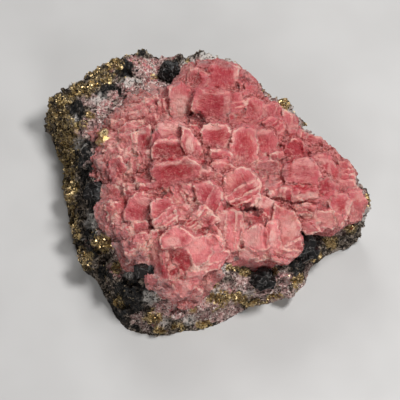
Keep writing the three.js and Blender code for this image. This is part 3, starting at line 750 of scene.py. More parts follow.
def growCrust(draw):
    # The bed with every crystal on it, joined in one closed skin over one flat underside
    style = crustStyle
    bm = bmesh.new()
    addBed(bm)
    crystals = [addCrystal(bm, row) for row in crystalRows]
    for row in crystalRows:
        if row[1] > style["steppedFrom"] and row[0] < style["plainFrom"]:
            crystals += [addCrystal(bm, step) for step in stepRows(row, draw)]
    crystals += [addCrystal(bm, row, small=True) for row in smallCrystalRows(draw)]
    for crystal in crystals:
        crystal["value"] = draw.random()
    piece = addPiece("rhodochrosite", addMesh("rhodochrosite", bm))
    mesh = remeshPiece(piece, style["voxel"])
    bm = bmesh.new()
    bm.from_mesh(mesh)
    place = Vector((0, style["floorFront"], style["floorHeight"]))
    cutAway(bm, place, Vector((0, -style["floorSlope"], 1)).normalized(), outer=False)
    bm.to_mesh(mesh)
    bm.free()
    return piece, crystals


def crystalLooks(places, crystals):
    # For each vertex: how near it lies to the surface of its crystal, how far inside the rim, how far below
    # the face, the crystal's own value, 1 where the crystal is small, and then the place on the crystal
    out = places - np.array(crustMiddle)
    # Off the crystals the streaks run outward from the crust's middle
    turn = np.arctan2(out[:, 1], out[:, 0]) * crustStyle["swirl"]
    looks = np.zeros((len(places), 8))
    looks[:, :5] = (1, -1, 0, 0.5, 1)
    looks[:, 5:] = np.stack([np.hypot(out[:, 0], out[:, 1]), turn, places[:, 2]], axis=1)
    for crystal in crystals:
        inverse = np.array(crystal["inverse"])
        corners, depth, down, along = (crystal[name] for name in ("corners", "depth", "down", "along"))
        middle = -inverse[:3, :3].T @ inverse[:3, 3]
        reach = max(corner.length for corner in corners) + depth
        close = np.nonzero(np.abs(places - middle).max(axis=1) < reach * 1.4)[0]
        x, y, height = (places[close] @ inverse[:3, :3].T + inverse[:3, 3]).T
        x, y = x - height * down.x / down.z, y - height * down.y / down.z
        within = np.full(len(close), 1.0)
        for index, corner in enumerate(corners):
            side = (corner - corners[index - 1]).normalized()
            within = np.minimum(within, (y - corner.y) * side.x - (x - corner.x) * side.y)
        flare = (crustStyle["footShare"] - 1) * corners[0].length / depth
        distance = np.abs(np.maximum(np.minimum(height, 0) * flare - within, height))
        value, minor = (np.full(len(close), crystal[name]) for name in ("value", "minor"))
        found = np.stack([distance, within, -height, value, minor, x * along.x + y * along.y,
                          y * along.x - x * along.y, height], axis=1)
        hit = (height > -depth) & (distance < looks[close, 0])
        looks[close[hit]] = found[hit]
    return looks


def hollowMeasure(places, cell, spread):
    # How far a place lies below its surroundings, along the view, in metres, from a grid of highest places
    halfGrid = 80 * mm
    along = places @ np.array(viewToward)
    across = (places[:, 0] + halfGrid) / cell
    up = (places @ np.array(viewUp) + halfGrid) / cell
    size = int(2 * halfGrid / cell) + 2
    top = np.full((size, size), -1.0)
    np.maximum.at(top, (np.floor(across).astype(int), np.floor(up).astype(int)), along)
    known = (top > -0.5).astype(float)
    total = np.where(top > -0.5, top, 0)
    for _ in range(spread):
        for axis in (0, 1):
            total = (np.roll(total, 1, axis) + total + np.roll(total, -1, axis)) / 3
            known = (np.roll(known, 1, axis) + known + np.roll(known, -1, axis)) / 3
    mean = total / np.maximum(known, 1e-6)
    column, row = np.floor(across - 0.5).astype(int), np.floor(up - 0.5).astype(int)
    right, above = across - 0.5 - column, up - 0.5 - row
    lower = mean[column, row] * (1 - right) + mean[column + 1, row] * right
    upper = mean[column, row + 1] * (1 - right) + mean[column + 1, row + 1] * right
    return lower * (1 - above) + upper * above - along


# Patches of colour as seen, with how uneven their edge is, the seed and size in mm of its unevenness, and
# then u, v, half width, half height and strength of each
crustPatches = {
    # deep red places: the crystals' own red, and painted shade in bands under plates and steps and in
    # recesses
    "red": (0.3, 5, 3, [
        (169, 153, 17, 11, 1), (168, 156, 8, 7, 1), (175, 175, 12, 7, 0.85), (184, 170, 8, 7, 0.7),
        (193, 77, 8, 7, 0.6), (207, 69, 7, 4, 0.9), (213, 90, 8, 4, 0.8), (223, 67, 9, 6, 0.45),
        (209, 103, 9, 10, 0.5), (164, 105, 6, 8, 0.7), (197, 120, 9, 8, 0.9), (250, 109, 5, 9, 0.6),
        (238, 117, 7, 5, 0.9), (274, 126, 6, 5, 0.6), (293, 150, 11, 11, 1), (313, 135, 10, 3, 0.8),
        (303, 141, 9, 3, 0.7), (314, 147, 8, 3, 0.8), (293, 136, 5, 3, 0.8), (240, 191, 9, 8, 0.5),
        (204, 160, 5, 7, 0.9), (300, 187, 15, 3.5, 1), (286, 204, 10, 8, 1), (234, 206, 11, 5, 1),
        (268, 170, 10, 7, 0.5), (123, 206, 4, 14, 0.7), (150, 190, 14, 2.5, 0.8),
        (152, 196, 10, 2.5, 0.8), (197, 222, 14, 3, 0.7), (207, 231, 9, 4, 0.9),
        (177, 258, 11, 13, 0.8), (188, 262, 5, 9, 0.9), (211, 241, 5, 4, 0.6), (177, 272, 10, 6, 0.6),
        (262, 219, 12, 5, 0.6), (265, 236, 3.5, 14, 1), (272, 212, 8, 5, 0.5), (285, 218, 8, 5, 0.35),
        (280, 240, 10, 5, 0.4), (157, 226, 6, 3, 0.6), (161, 234, 9, 3, 0.8), (119, 171, 8, 9, 0.45),
        (142, 172, 5, 6, 0.7), (306, 204, 11, 2.5, 0.7), (304, 176, 12, 3, 0.3), (322, 188, 8, 9, 0.75),
        (340, 174, 6, 9, 0.5), (302, 211, 10, 2, 0.8), (306, 218, 8, 2, 0.7), (288, 168, 3, 12, 0.6),
        (330, 152, 10, 4, 0.5), (220, 108, 8, 10, 0.25), (262, 141, 6, 6, 0.5), (165, 195, 6, 4, 0.9),
        (177, 187, 4, 4, 0.8), (222, 136, 7, 6, 0.2), (170, 262, 6, 12, 0.5), (256, 212, 5, 5, 0.5),
    ]),
    # bright pale places: pale crystal and rock, and painted highlight on lit ridges, ledges and step edges
    "pale": (0.35, 6, 3, [
        (179, 104, 9, 18, 0.75), (172, 127, 14, 4, 0.8), (190, 148, 4, 9, 0.8),
        (178, 164, 18, 2.5, 0.9), (213, 92, 11, 3, 0.8), (226, 106, 3, 12, 0.7), (303, 164, 14, 4, 0.5),
        (297, 197, 9, 3, 0.7), (310, 195, 6, 2.5, 0.8), (298, 206, 12, 2, 0.7), (304, 215, 9, 1.5, 0.7),
        (328, 172, 2, 12, 0.6), (172, 240, 8, 5, 0.6), (199, 244, 10, 8, 0.4), (198, 267, 13, 2.5, 0.9),
        (272, 236, 4, 10, 0.8), (258, 202, 5, 6, 0.8), (266, 204, 8, 4, 0.6), (284, 222, 6, 8, 0.5),
        (300, 173, 14, 9, 0.35), (252, 238, 9, 10, 0.6), (288, 230, 8, 9, 0.5), (246, 254, 6, 5, 0.8),
        (186, 282, 6, 9, 0.5), (160, 293, 9, 5, 0.5), (120, 99, 22, 9, 0.7), (146, 86, 16, 6, 0.6),
        (106, 118, 9, 9, 0.4), (128, 112, 14, 6, 0.4), (100, 150, 5, 8, 0.4), (145, 200, 8, 6, 0.4),
        (236, 78, 2.5, 10, 0.8), (206, 171, 5, 3, 0.6), (141, 132, 6, 3, 0.7), (148, 158, 3, 8, 0.6),
        (325, 162, 8, 3, 0.6), (338, 176, 2.5, 12, 0.6), (255, 178, 3, 8, 0.6), (113, 144, 8, 6, 0.3),
        (213, 128, 10, 2.5, 0.5), (347, 206, 2.5, 8, 0.7), (220, 232, 2.5, 8, 0.7),
        (223, 220, 4, 12, 0.4), (118, 218, 4, 6, 0.5), (262, 132, 9, 3, 0.5),
    ]),
    # wide stretches of deeper pink
    "tint": (0.5, 9, 6, [
        (214, 86, 38, 32, 1), (312, 168, 42, 38, 0.75), (196, 75, 20, 16, 0.8), (262, 110, 28, 22, 0.9),
        (168, 160, 26, 28, 0.5), (276, 128, 24, 14, 0.8), (330, 186, 30, 28, 0.7),
        (246, 86, 14, 18, 0.8), (232, 112, 26, 16, 0.5), (178, 258, 16, 20, 0.3),
        (115, 172, 12, 14, 0.9), (128, 212, 18, 18, 0.3),
    ]),
    # faces that glow in a clear bright coral
    "coral": (0.4, 10, 4, [
        (200, 247, 14, 13, 1), (213, 240, 8, 8, 0.8), (217, 257, 9, 8, 0.8), (170, 236, 13, 8, 0.5),
        (272, 234, 20, 18, 0.95), (238, 240, 12, 14, 0.9), (250, 252, 14, 9, 0.9),
        (146, 200, 14, 12, 0.4), (186, 292, 12, 14, 0.5), (228, 176, 12, 12, 0.3),
        (152, 220, 12, 8, 0.3),
    ]),
    # stretches where the crust thins out and the dull rock shows through, and painted shade on shaded faces
    # and beside the large blocks
    "dull": (0.7, 17, 4, [
        (120, 240, 18, 16, 1), (130, 258, 22, 10, 1), (104, 216, 6, 14, 0.6), (112, 172, 9, 16, 0.6),
        (98, 160, 6, 14, 0.8), (160, 290, 14, 8, 1), (184, 298, 14, 7, 0.9), (152, 268, 5, 12, 0.7),
        (102, 128, 8, 14, 0.6), (108, 192, 7, 8, 0.6), (158, 262, 5, 14, 0.5), (268, 170, 12, 14, 0.6),
        (358, 214, 6, 8, 0.4), (284, 172, 4, 14, 0.6), (124, 104, 14, 6, 0.4),
    ]),
    # cavities between the crystals, sunk and darkened with painted shade, and a painted shadow beside the
    # pyrite crystals
    "cavity": (0.75, 7, 1.6, [
        (198, 118, 7, 8, 1), (191, 117, 5, 6, 1), (204, 124, 5, 3, 0.8), (164, 194, 5, 3, 1),
        (250, 209, 9, 3.5, 1), (257, 213, 5, 3, 0.9), (205, 165, 3, 6, 0.6), (226, 205, 3, 4, 0.5),
        (286, 139, 4, 3, 0.5), (272, 158, 3, 6, 0.5), (245, 206, 5, 3, 0.8), (96, 141, 4, 3, 1),
        (244, 78, 5, 5, 0.6), (209, 228, 4, 3, 0.5), (180, 222, 5, 2.5, 0.5), (150, 268, 3, 6, 0.6),
        (302, 216, 5, 2.5, 0.5),
    ]),
}


def crustPlaces(places, normals, inside, below, hollow, masks):
    # Where each vertex goes: grain, facets, chips and layers, sunk red places and partly filled clefts
    style = crustStyle
    bare, fine, red, cavity = (masks[name] for name in ("bare", "fine", "red", "cavity"))
    rough = np.maximum(np.maximum(bare, fine), 0.45 * red)
    edge = smoothStep(*style["rimWidth"], np.abs(inside)) * (1 - bare)
    grains = layeredNoise(places, style["grainSize"], 21)
    facets = facetRelief(places, style["facetSize"], 61, 1, style["facetSlope"])
    blocks = facetRelief(places, style["blockSize"], 81, 1, style["blockSlope"])
    chips = smoothStep(*style["chipFrom"], layeredNoise(places, style["chipSize"], 71))
    wander = layeredNoise(places, style["layerBend"], 41)
    layerPlace = np.where(below > style["sideFrom"], below, inside)
    layers = np.sin(2 * math.pi * layerPlace / style["layerSize"] + wander) + 0.6 * wander
    move = style["grain"] * grains * (0.5 + 1.5 * rough)
    move += style["facets"] * facets * (0.4 + 1.1 * rough + 1.2 * edge)
    move += style["blocks"] * blocks * (1 - 0.5 * fine)
    move -= style["chips"] * chips * edge
    move += style["layers"] * layers * (1 - rough)
    u, v = seenPlace(places)
    fill = style["fill"] + style["crestFill"] * smoothStep(*style["crestV"], v)
    fill = np.maximum(fill, style["leftFill"] * smoothStep(*style["leftU"], u))
    fill = fill * (1 - cavity) * (1 - 0.7 * red)
    sunk = style["crater"] * (red * (1 - 0.5 * fine) + 0.9 * cavity)
    sunk -= fill * np.maximum(hollow - style["fillFrom"], 0)
    moving = smoothStep(*style["movesFrom"], places[:, 2])
    moved = places + normals * move[:, None] - np.array(viewToward) * sunk[:, None]
    moved += warped(places, style["warpSize"], 91, style["warp"]) * moving[:, None]
    moved += shifted(places, style["jagSize"], 95, style["jag"]) * (moving * (0.15 + 0.85 * edge))[:, None]
    return moved


def buildCrust():
    style = crustStyle
    piece, crystals = growCrust(random.Random(style["seed"]))
    data = piece.data
    places, normals = readShape(data)
    looks = crystalLooks(places, crystals)
    distance, inside, below, value, minor = looks[:, :5].T
    masks = patchMasks(places, crustPatches)
    masks["bare"] = smoothStep(*style["bareFrom"], distance)
    patches = [(*patch[:4], 1) for patch in finePatches + outerPatches]
    patches += [(*patch[:4], 0.6) for patch in slopePatches]
    masks["fine"] = patchMask(places, 0.3, 8, 5, patches)
    u, v = seenPlace(places)
    masks["border"] = smoothStep(*style["borderWidth"], outlineDistance(u, v, crustBorder))
    masks["border"] *= smoothStep(*style["borderU"], u)
    hollow, basin = (hollowMeasure(places, *style[name][:2]) for name in ("hollow", "basin"))
    writePlaces(data, crustPlaces(places, normals, inside, below, hollow, masks))
    storeMeasures(data, {
        **masks,
        "inside": inside / mm,
        "below": below / mm,
        "hollow": np.clip(hollow / style["hollow"][2], -1, 1),
        "basin": np.clip(basin / style["basin"][2], -1, 1),
        "minor": minor,
        "tone": value,
        "growth": looks[:, 5:] / mm,
    })
    smoothFaces(data, style["sharpAngle"])
    print("crust:", len(crystals), "crystals,", len(data.polygons) * 2, "triangles")
    return piece


# Rock

rockPatches = {
    "gold": (0.6, 11, 4, [
        (62, 130, 16, 18, 1), (60, 160, 15, 22, 1), (62, 196, 15, 26, 1), (68, 230, 14, 24, 1),
        (80, 262, 12, 16, 0.9), (54, 108, 14, 14, 1), (60, 98, 13, 8, 1), (80, 86, 13, 8, 1),
        (98, 73, 13, 9, 1), (112, 58, 9, 8, 0.9), (89, 82, 7, 5, 1), (88, 113, 6, 6, 0.9),
        (80, 123, 5, 5, 0.8), (101, 198, 4, 5, 0.8), (103, 242, 15, 8, 1), (117, 267, 6, 5, 1),
        (152, 316, 8, 8, 1), (160, 330, 9, 5, 1), (202, 324, 9, 5, 1), (193, 308, 6, 5, 0.9),
        (211, 281, 9, 7, 1), (222, 299, 11, 10, 1), (240, 299, 11, 8, 1), (256, 304, 11, 5, 0.9),
        (272, 298, 9, 5, 1), (299, 281, 8, 7, 1), (274, 270, 5, 4, 1), (317, 257, 6, 6, 1),
        (331, 243, 8, 8, 1), (349, 228, 7, 5, 1), (233, 266, 6, 4, 1), (244, 273, 6, 4, 1),
        (188, 58, 4, 3, 1), (152, 75, 4, 3, 0.9), (288, 101, 6, 8, 1), (306, 124, 4, 3, 1),
        (242, 63, 4, 3, 1), (357, 193, 4, 4, 0.9), (369, 200, 4, 6, 0.8), (120, 302, 8, 6, 0.6),
        (178, 326, 8, 5, 0.7),
    ]),
    # black patches; the last five, broad ones along the left and lower-left walls are painted shade
    "black": (0.6, 12, 3.5, [
        (121, 64, 13, 11, 1), (139, 48, 7, 4, 1), (96, 194, 9, 15, 1), (79, 163, 5, 9, 0.9),
        (92, 226, 8, 20, 0.9), (89, 176, 8, 13, 0.8), (86, 150, 7, 10, 0.8), (147, 264, 8, 9, 1),
        (131, 278, 11, 9, 1), (130, 297, 21, 17, 1), (90, 254, 8, 9, 0.9), (103, 273, 9, 8, 0.9),
        (262, 277, 10, 11, 1), (242, 267, 7, 4, 1), (308, 237, 11, 11, 1), (298, 262, 8, 18, 1),
        (169, 69, 10, 11, 1), (316, 243, 8, 6, 0.8), (147, 290, 9, 12, 0.8), (104, 86, 13, 9, 0.8),
        (75, 112, 8, 12, 0.8), (76, 160, 8, 11, 0.8), (60, 180, 14, 60, 0.55), (80, 290, 16, 40, 0.7),
        (110, 320, 24, 24, 0.7), (72, 250, 14, 30, 0.6), (50, 130, 8, 30, 0.5),
    ]),
    "quartz": (0.75, 13, 2.6, [
        (208, 53, 15, 5, 1), (232, 58, 10, 5, 1), (129, 81, 8, 5, 0.9), (70, 118, 6, 6, 0.9),
        (75, 143, 7, 7, 2.2), (94, 222, 7, 8, 2), (97, 171, 5, 6, 1.6), (92, 98, 10, 5, 0.8),
        (224, 262, 6, 8, 1), (152, 298, 9, 8, 0.8), (216, 292, 8, 6, 0.7), (250, 292, 8, 6, 0.6),
        (191, 321, 8, 6, 0.9), (292, 111, 7, 7, 0.9), (350, 188, 7, 6, 0.9), (368, 212, 5, 9, 0.9),
        (186, 58, 6, 5, 0.7), (165, 322, 8, 5, 0.6), (130, 274, 6, 4, 0.7),
    ]),
    "carbonate": (0.8, 14, 3.5, [
        (148, 74, 22, 22, 1), (150, 94, 16, 12, 1), (281, 283, 22, 12, 1), (246, 286, 15, 9, 0.9),
        (214, 302, 13, 9, 0.9), (177, 311, 15, 9, 0.9), (331, 229, 13, 8, 0.8), (118, 90, 13, 9, 0.8),
        (106, 104, 9, 9, 0.8), (232, 312, 14, 6, 0.8), (305, 268, 8, 8, 0.5), (196, 300, 12, 8, 0.8),
        (95, 128, 12, 20, 0.9), (78, 133, 9, 4, 0.8), (186, 306, 12, 18, 1), (96, 100, 14, 7, 0.7),
        (92, 156, 9, 14, 0.8), (100, 214, 8, 16, 0.7), (128, 262, 16, 10, 0.7),
        (260, 290, 44, 14, 0.95), (205, 314, 34, 12, 0.95), (170, 300, 20, 10, 0.9),
        (140, 320, 12, 8, 0.5), (150, 62, 20, 12, 0.9),
    ]),
    # pink stains on the rock
    "blush": (0.7, 19, 3, [
        (134, 60, 20, 10, 1), (150, 68, 12, 14, 1), (164, 52, 14, 6, 0.8), (122, 88, 16, 10, 0.8),
        (104, 108, 10, 10, 0.8), (256, 287, 7, 6, 1), (232, 290, 12, 6, 0.6), (284, 278, 12, 6, 0.6),
        (172, 306, 14, 12, 0.9), (160, 320, 12, 8, 0.6), (90, 128, 8, 10, 0.7), (96, 240, 10, 10, 0.4),
        (118, 270, 8, 8, 0.8), (338, 224, 12, 8, 0.6), (196, 300, 10, 8, 0.8),
    ]),
}

# On the sides that the photograph doesn't show: how much of each, the size of its patches, and the seed
unseenRock = {
    "gold": (0.34, 14 * mm, 15),
    "black": (0.28, 11 * mm, 16),
    "quartz": (0.2, 8 * mm, 17),
    "carbonate": (0.26, 12 * mm, 18),
}

rockStyle = {
    "voxel": 0.62 * mm,
    "blockSize": 5.2 * mm,
    "blockStep": 0.42 * mm,
    "blockSlope": 0.34,
    "grainSize": 1.9 * mm,
    "grainStep": 0.32 * mm,
    "grainSlope": 0.5,
    "lumps": 0.3 * mm,
    "lumpSize": 7 * mm,
    "sink": 0.35 * mm,
    "flatBelow": 0.8 * mm,
    # Fine carbonate round the crust: from where to where outside its edge, in pixels, and how much
    "borderWidth": (-9, -1),
    "borderShare": 0.9,
}


def rockMasks(places, normals):
    seen = smoothStep(-0.1, 0.15, normals @ np.array(viewToward))
    masks = patchMasks(places, rockPatches)
    border = smoothStep(*rockStyle["borderWidth"], outlineDistance(*seenPlace(places), crustBorder))
    masks["carbonate"] = np.maximum(masks["carbonate"], border * rockStyle["borderShare"])
    for name, (share, size, seed) in unseenRock.items():
        if name == "black":
            masks["black"] *= 1 - 0.6 * masks["gold"]
        noise = layeredNoise(places, size, seed, 2) + 0.4
        unseen = smoothStep(1 - share * 3, 1.3 - share * 3, noise) * (1 - seen)
        masks[name] = np.maximum(masks[name] * seen, unseen)
    masks["blush"] *= seen
    return masks


def buildRock():
    style = rockStyle
    piece = copyOfNode("pyrite_matrix", "rock")
    data = remeshPiece(piece, style["voxel"])
    places, normals = readShape(data)
    move = facetRelief(places, style["blockSize"], 101, style["blockStep"], style["blockSlope"])
    move += facetRelief(places, style["grainSize"], 111, style["grainStep"], style["grainSlope"])
    move += layeredNoise(places, style["lumpSize"], 121) * style["lumps"] - style["sink"]
    free = smoothStep(style["flatBelow"] * 0.4, style["flatBelow"] * 2, places[:, 2])
    places = places + normals * (move * free)[:, None]
    writePlaces(data, places)
    storeMeasures(data, rockMasks(places, readVectors(data, "normal")))
    tone = grainCells(places, style["grainSize"], 111)["value"] * 0.5 + 0.5
    storeMeasures(data, {"tone": tone})
    data.shade_flat()
    print("rock:", len(data.polygons) * 2, "triangles")
    return piece


grainStyle = {
    "seed": 19,
    # The front gets more grains than the wall on the left, which ends at frontFrom on the photograph
    "frontFrom": 112,
    "frontTimes": 3,
    "wallTimes": 1,
    "hidden": 2200,
    "least": 0.66,
    "speckle": 0.35,
    "speckleSize": 2.2 * mm,
    "lowest": 1.5 * mm,
    "size": (0.2, 0.5),
    "largeShare": 0.04,
    "largeSize": (0.7, 1.2),
    "scatter": 0.3 * mm,
    "sink": 0.25,
    "brightShares": (0.6, 0.5, 0.4, 0.4, 0.3),
    "brightSpread": 0.5,
}

# Places of single bright crystals: u, v and size in mm
brightGrains = [
    (151, 319, 2.2), (155, 307, 1.8), (163, 331, 1.8), (202, 324, 2), (193, 307, 1.5), (220, 296, 1.6),
    (238, 298, 1.6), (298, 280, 1.6), (92, 115, 1.4), (87, 112, 1.4), (89, 82, 1.6), (101, 198, 1.2),
    (286, 97, 1.5), (290, 103, 1.6), (306, 124, 1.3), (242, 63, 1.3), (188, 58, 1.4), (356, 193, 2),
    (367, 199, 1.8), (361, 190, 1.4), (274, 270, 1.5), (233, 266, 1.8), (99, 240, 1.8), (107, 244, 1.8),
    (111, 238, 1.6), (95, 236, 1.4), (104, 236, 1.5), (102, 246, 1.5), (116, 267, 1.6), (121, 265, 1.4),
]


def randomWay(draw):
    return Vector([draw.uniform(-1, 1) for _ in range(3)])


def addCube(bm, place, size, draw):
    turn = Euler([draw.uniform(0, math.pi) for _ in range(3)]).to_matrix().to_4x4()
    stretch = Matrix.Diagonal((1, draw.uniform(0.75, 1), draw.uniform(0.7, 1), 1))
    part = bmesh.new()
    bmesh.ops.create_cube(part, size=size, matrix=Matrix.Translation(place) @ turn @ stretch)
    joinInto(bm, part)


def buildGrains(rock):
    style = grainStyle
    draw = random.Random(style["seed"])
    places, normals = readShape(rock.data)
    gold = np.empty(len(places), dtype=np.float32)
    rock.data.attributes["gold"].data.foreach_get("value", gold)
    gold = gold + style["speckle"] * layeredNoise(places, style["speckleSize"], 131)
    wanted = (gold > style["least"]) & (places[:, 2] > style["lowest"]) & (normals[:, 2] > -0.5)
    u, v = seenPlace(places)
    seen = normals @ np.array(viewToward) > 0.1
    front, wall, hidden = (np.nonzero(wanted & part)[0].tolist() for part in (
        seen & (u > style["frontFrom"]), seen & (u <= style["frontFrom"]), ~seen))
    draw.shuffle(hidden)
    bm = bmesh.new()
    for index in front * style["frontTimes"] + wall * style["wallTimes"] + hidden[:style["hidden"]]:
        size = draw.uniform(*style["size"])
        if draw.random() < style["largeShare"]:
            size = draw.uniform(*style["largeSize"])
        size *= mm
        away = randomWay(draw) * style["scatter"]
        sunk = Vector(places[index]) - Vector(normals[index]) * size * style["sink"]
        addCube(bm, sunk + away, size, draw)
    for grainU, grainV, size in brightGrains:
        distance = np.hypot(u - grainU, v - grainV) + np.where(seen, 0, 500)
        place = Vector(places[int(np.argmin(distance))])
        for share in style["brightShares"]:
            away = randomWay(draw) * size * style["brightSpread"] * mm
            addCube(bm, place + away, size * share * mm, draw)
    piece = addPiece("pyriteGrains", addMesh("pyriteGrains", bm))
    print("pyrite grains:", len(piece.data.polygons) * 2, "triangles")
    return piece


# Black crystals and bright pyrite

blackStyle = {
    "seed": 23,
    "voxel": 0.24 * mm,
    "cuts": 6,
    "cutShare": (0.56, 0.8),
    "blocks": 7,
    "blockSize": (0.42, 0.7),
    "reach": 0.34,
    "facetSize": 2.6 * mm,
    "facetStep": 0.05 * mm,
    "facetSlope": 0.05,
    "sharpAngle": math.radians(20),
}
blackNodes = {
    "sphalerite_upper": "sphaleriteUpper",
    "sphalerite_left": "sphaleriteLeft",
    "sphalerite_lower_left": "sphaleriteLowerLeft",
    "sphalerite_front": "sphaleriteFront",
    "sphalerite_right": "sphaleriteRight",
}
pyriteStyle = {
    "edge": 0.12 * mm,
    "segments": 2,
}


def buildBlack(node, name):
    # The node's crystal, with random caps cut off to flat faces and smaller blocks grown through it
    style = blackStyle
    draw = random.Random(style["seed"] + len(name))
    piece = copyOfNode(node, name)
    bm = bmesh.new()
    bm.from_mesh(piece.data)
    spans = [(min(side), max(side)) for side in zip(*[vert.co for vert in bm.verts])]
    middle = Vector([(low + high) / 2 for low, high in spans])
    least = min(high - low for low, high in spans)
    for _ in range(style["cuts"]):
        toward = Vector([draw.gauss(0, 1) for _ in range(3)]).normalized()
        reach = max((vert.co - middle).dot(toward) for vert in bm.verts)
        cutAway(bm, middle + toward * reach * draw.uniform(*style["cutShare"]), toward)
    for _ in range(style["blocks"]):
        away = Vector([draw.uniform(-1, 1) * (high - low) for low, high in spans]) * style["reach"]
        addCube(bm, middle + away, least * draw.uniform(*style["blockSize"]), draw)
    bm.to_mesh(piece.data)
    bm.free()
    data = remeshPiece(piece, style["voxel"])
    places, normals = readShape(data)
    move = facetRelief(places, style["facetSize"], 201, style["facetStep"], style["facetSlope"])
    writePlaces(data, places + normals * move[:, None])
    smoothFaces(data, style["sharpAngle"])
    return piece


def buildPyriteCrystals():
    piece = copyOfNode("pyrite_crystals", "pyriteCrystals")
    bevel = piece.modifiers.new("Edges", "BEVEL")
    bevel.width = pyriteStyle["edge"]
    bevel.segments = pyriteStyle["segments"]
    bevel.limit_method = "ANGLE"
    appliedMesh(piece)
    return piece


# Materials

class NodeSet:
    # The nodes of one material, with its colours by name and short calls for the nodes used most
    def __init__(self, name, colours=None):
        self.colours = colours
        self.material = bpy.data.materials.new(name)
        self.material.use_nodes = True
        self.nodes = self.material.node_tree.nodes
        self.links = self.material.node_tree.links
        self.shader = self.nodes["Principled BSDF"]
        self.coords = self.nodes.new("ShaderNodeTexCoord").outputs["Object"]
        self.body = None

    def put(self, socket, value):
        if isinstance(value, str):
            value = self.colours[value]
        if isinstance(value, bpy.types.NodeSocket):
            self.links.new(value, socket)
        elif isinstance(value, tuple) and socket.type == "RGBA":
            socket.default_value = (*value, 1)
        else:
            socket.default_value = value

    def add(self, kind, inputs):
        node = self.nodes.new("ShaderNode" + kind)
        for name, value in inputs.items():
            self.put(node.inputs[name], value)
        return node

    def finish(self, inputs):
        for name, value in inputs.items():
            self.put(self.shader.inputs[name], value)
        return self.material

    def read(self, name, output="Fac"):
        node = self.add("Attribute", {})
        node.attribute_name = name
        return node.outputs[output]

    def noise(self, scale, detail, roughness=0.5, vector=None):
        inputs = {"Scale": scale, "Detail": detail, "Roughness": roughness}
        return self.add("TexNoise", {"Vector": vector or self.coords, **inputs}).outputs["Fac"]

    def streaks(self, vector, scale, detail):
        stretched = self.add("Mapping", {"Vector": vector, "Scale": scale}).outputs["Vector"]
        return self.noise(1.0, detail, 0.6, stretched)

    def cells(self, scale, output="Distance"):
        return self.add("TexVoronoi", {"Vector": self.coords, "Scale": scale}).outputs[output]

    def cellTones(self, scale):
        # Two unlike values for each cell
        split = self.add("SeparateColor", {"Color": self.cells(scale, "Color")})
        return split.outputs["Red"], split.outputs["Green"]

    def ramp(self, value, low, high, toLow=0.0, toHigh=1.0):
        inputs = {"Value": value, "From Min": low, "From Max": high, "To Min": toLow, "To Max": toHigh}
        node = self.add("MapRange", inputs)
        node.interpolation_type = "SMOOTHSTEP"
        return node.outputs["Result"]

    def mix(self, share, first, second):
        node = self.add("Mix", {})
        node.data_type = "RGBA"
        for index, value in ((0, share), (6, first), (7, second)):
            self.put(node.inputs[index], value)
        return node.outputs[2]

    def combine(self, operation, first, *others):
        for other in others:
            node = self.add("Math", {})
            node.operation = operation
            self.put(node.inputs[0], first)
            self.put(node.inputs[1], other)
            first = node.outputs["Value"]
        return first

    def times(self, *values):
        return self.combine("MULTIPLY", *values)

    def timesWithin(self, *values):
        # A product that is kept from 0 to 1
        product = self.times(*values)
        product.node.use_clamp = True
        return product

    def plus(self, *values):
        return self.combine("ADD", *values)

    def most(self, *values):
        return self.combine("MAXIMUM", *values)

    def wash(self, colour, share):
        # One more colour over the body
        self.body = self.mix(share, self.body, colour)

    def washes(self, rows):
        # Colour, what it follows, where it starts, where it is full, and its share there
        for colour, value, low, high, share in rows:
            self.wash(colour, self.ramp(value, low, high, 0, share))

    def bump(self, height, distance, strength):
        inputs = {"Height": height, "Distance": distance, "Strength": strength}
        return self.add("Bump", inputs).outputs["Normal"]


crustColours = {
    "pink": (0.49, 0.052, 0.074),
    "warmPink": (0.55, 0.082, 0.084),
    "cloud": (0.65, 0.195, 0.205),
    "red": (0.36, 0.008, 0.018),
    "rose": (0.42, 0.028, 0.05),
    "coral": (0.90, 0.30, 0.30),
    "rim": (0.81, 0.50, 0.42),
    "pale": (0.86, 0.58, 0.50),
    "druse": (0.60, 0.22, 0.21),
    "sand": (0.55, 0.28, 0.20),
    "greyDruse": (0.33, 0.19, 0.18),
    "mauve": (0.20, 0.055, 0.06),
    "ash": (0.38, 0.19, 0.18),
    "pit": (0.15, 0.030, 0.030),
    # painted shade in the cavities
    "cavityShade": (0.16, 0.022, 0.024),
    # painted shade in the clefts
    "cleftShade": (0.28, 0.045, 0.04),
}


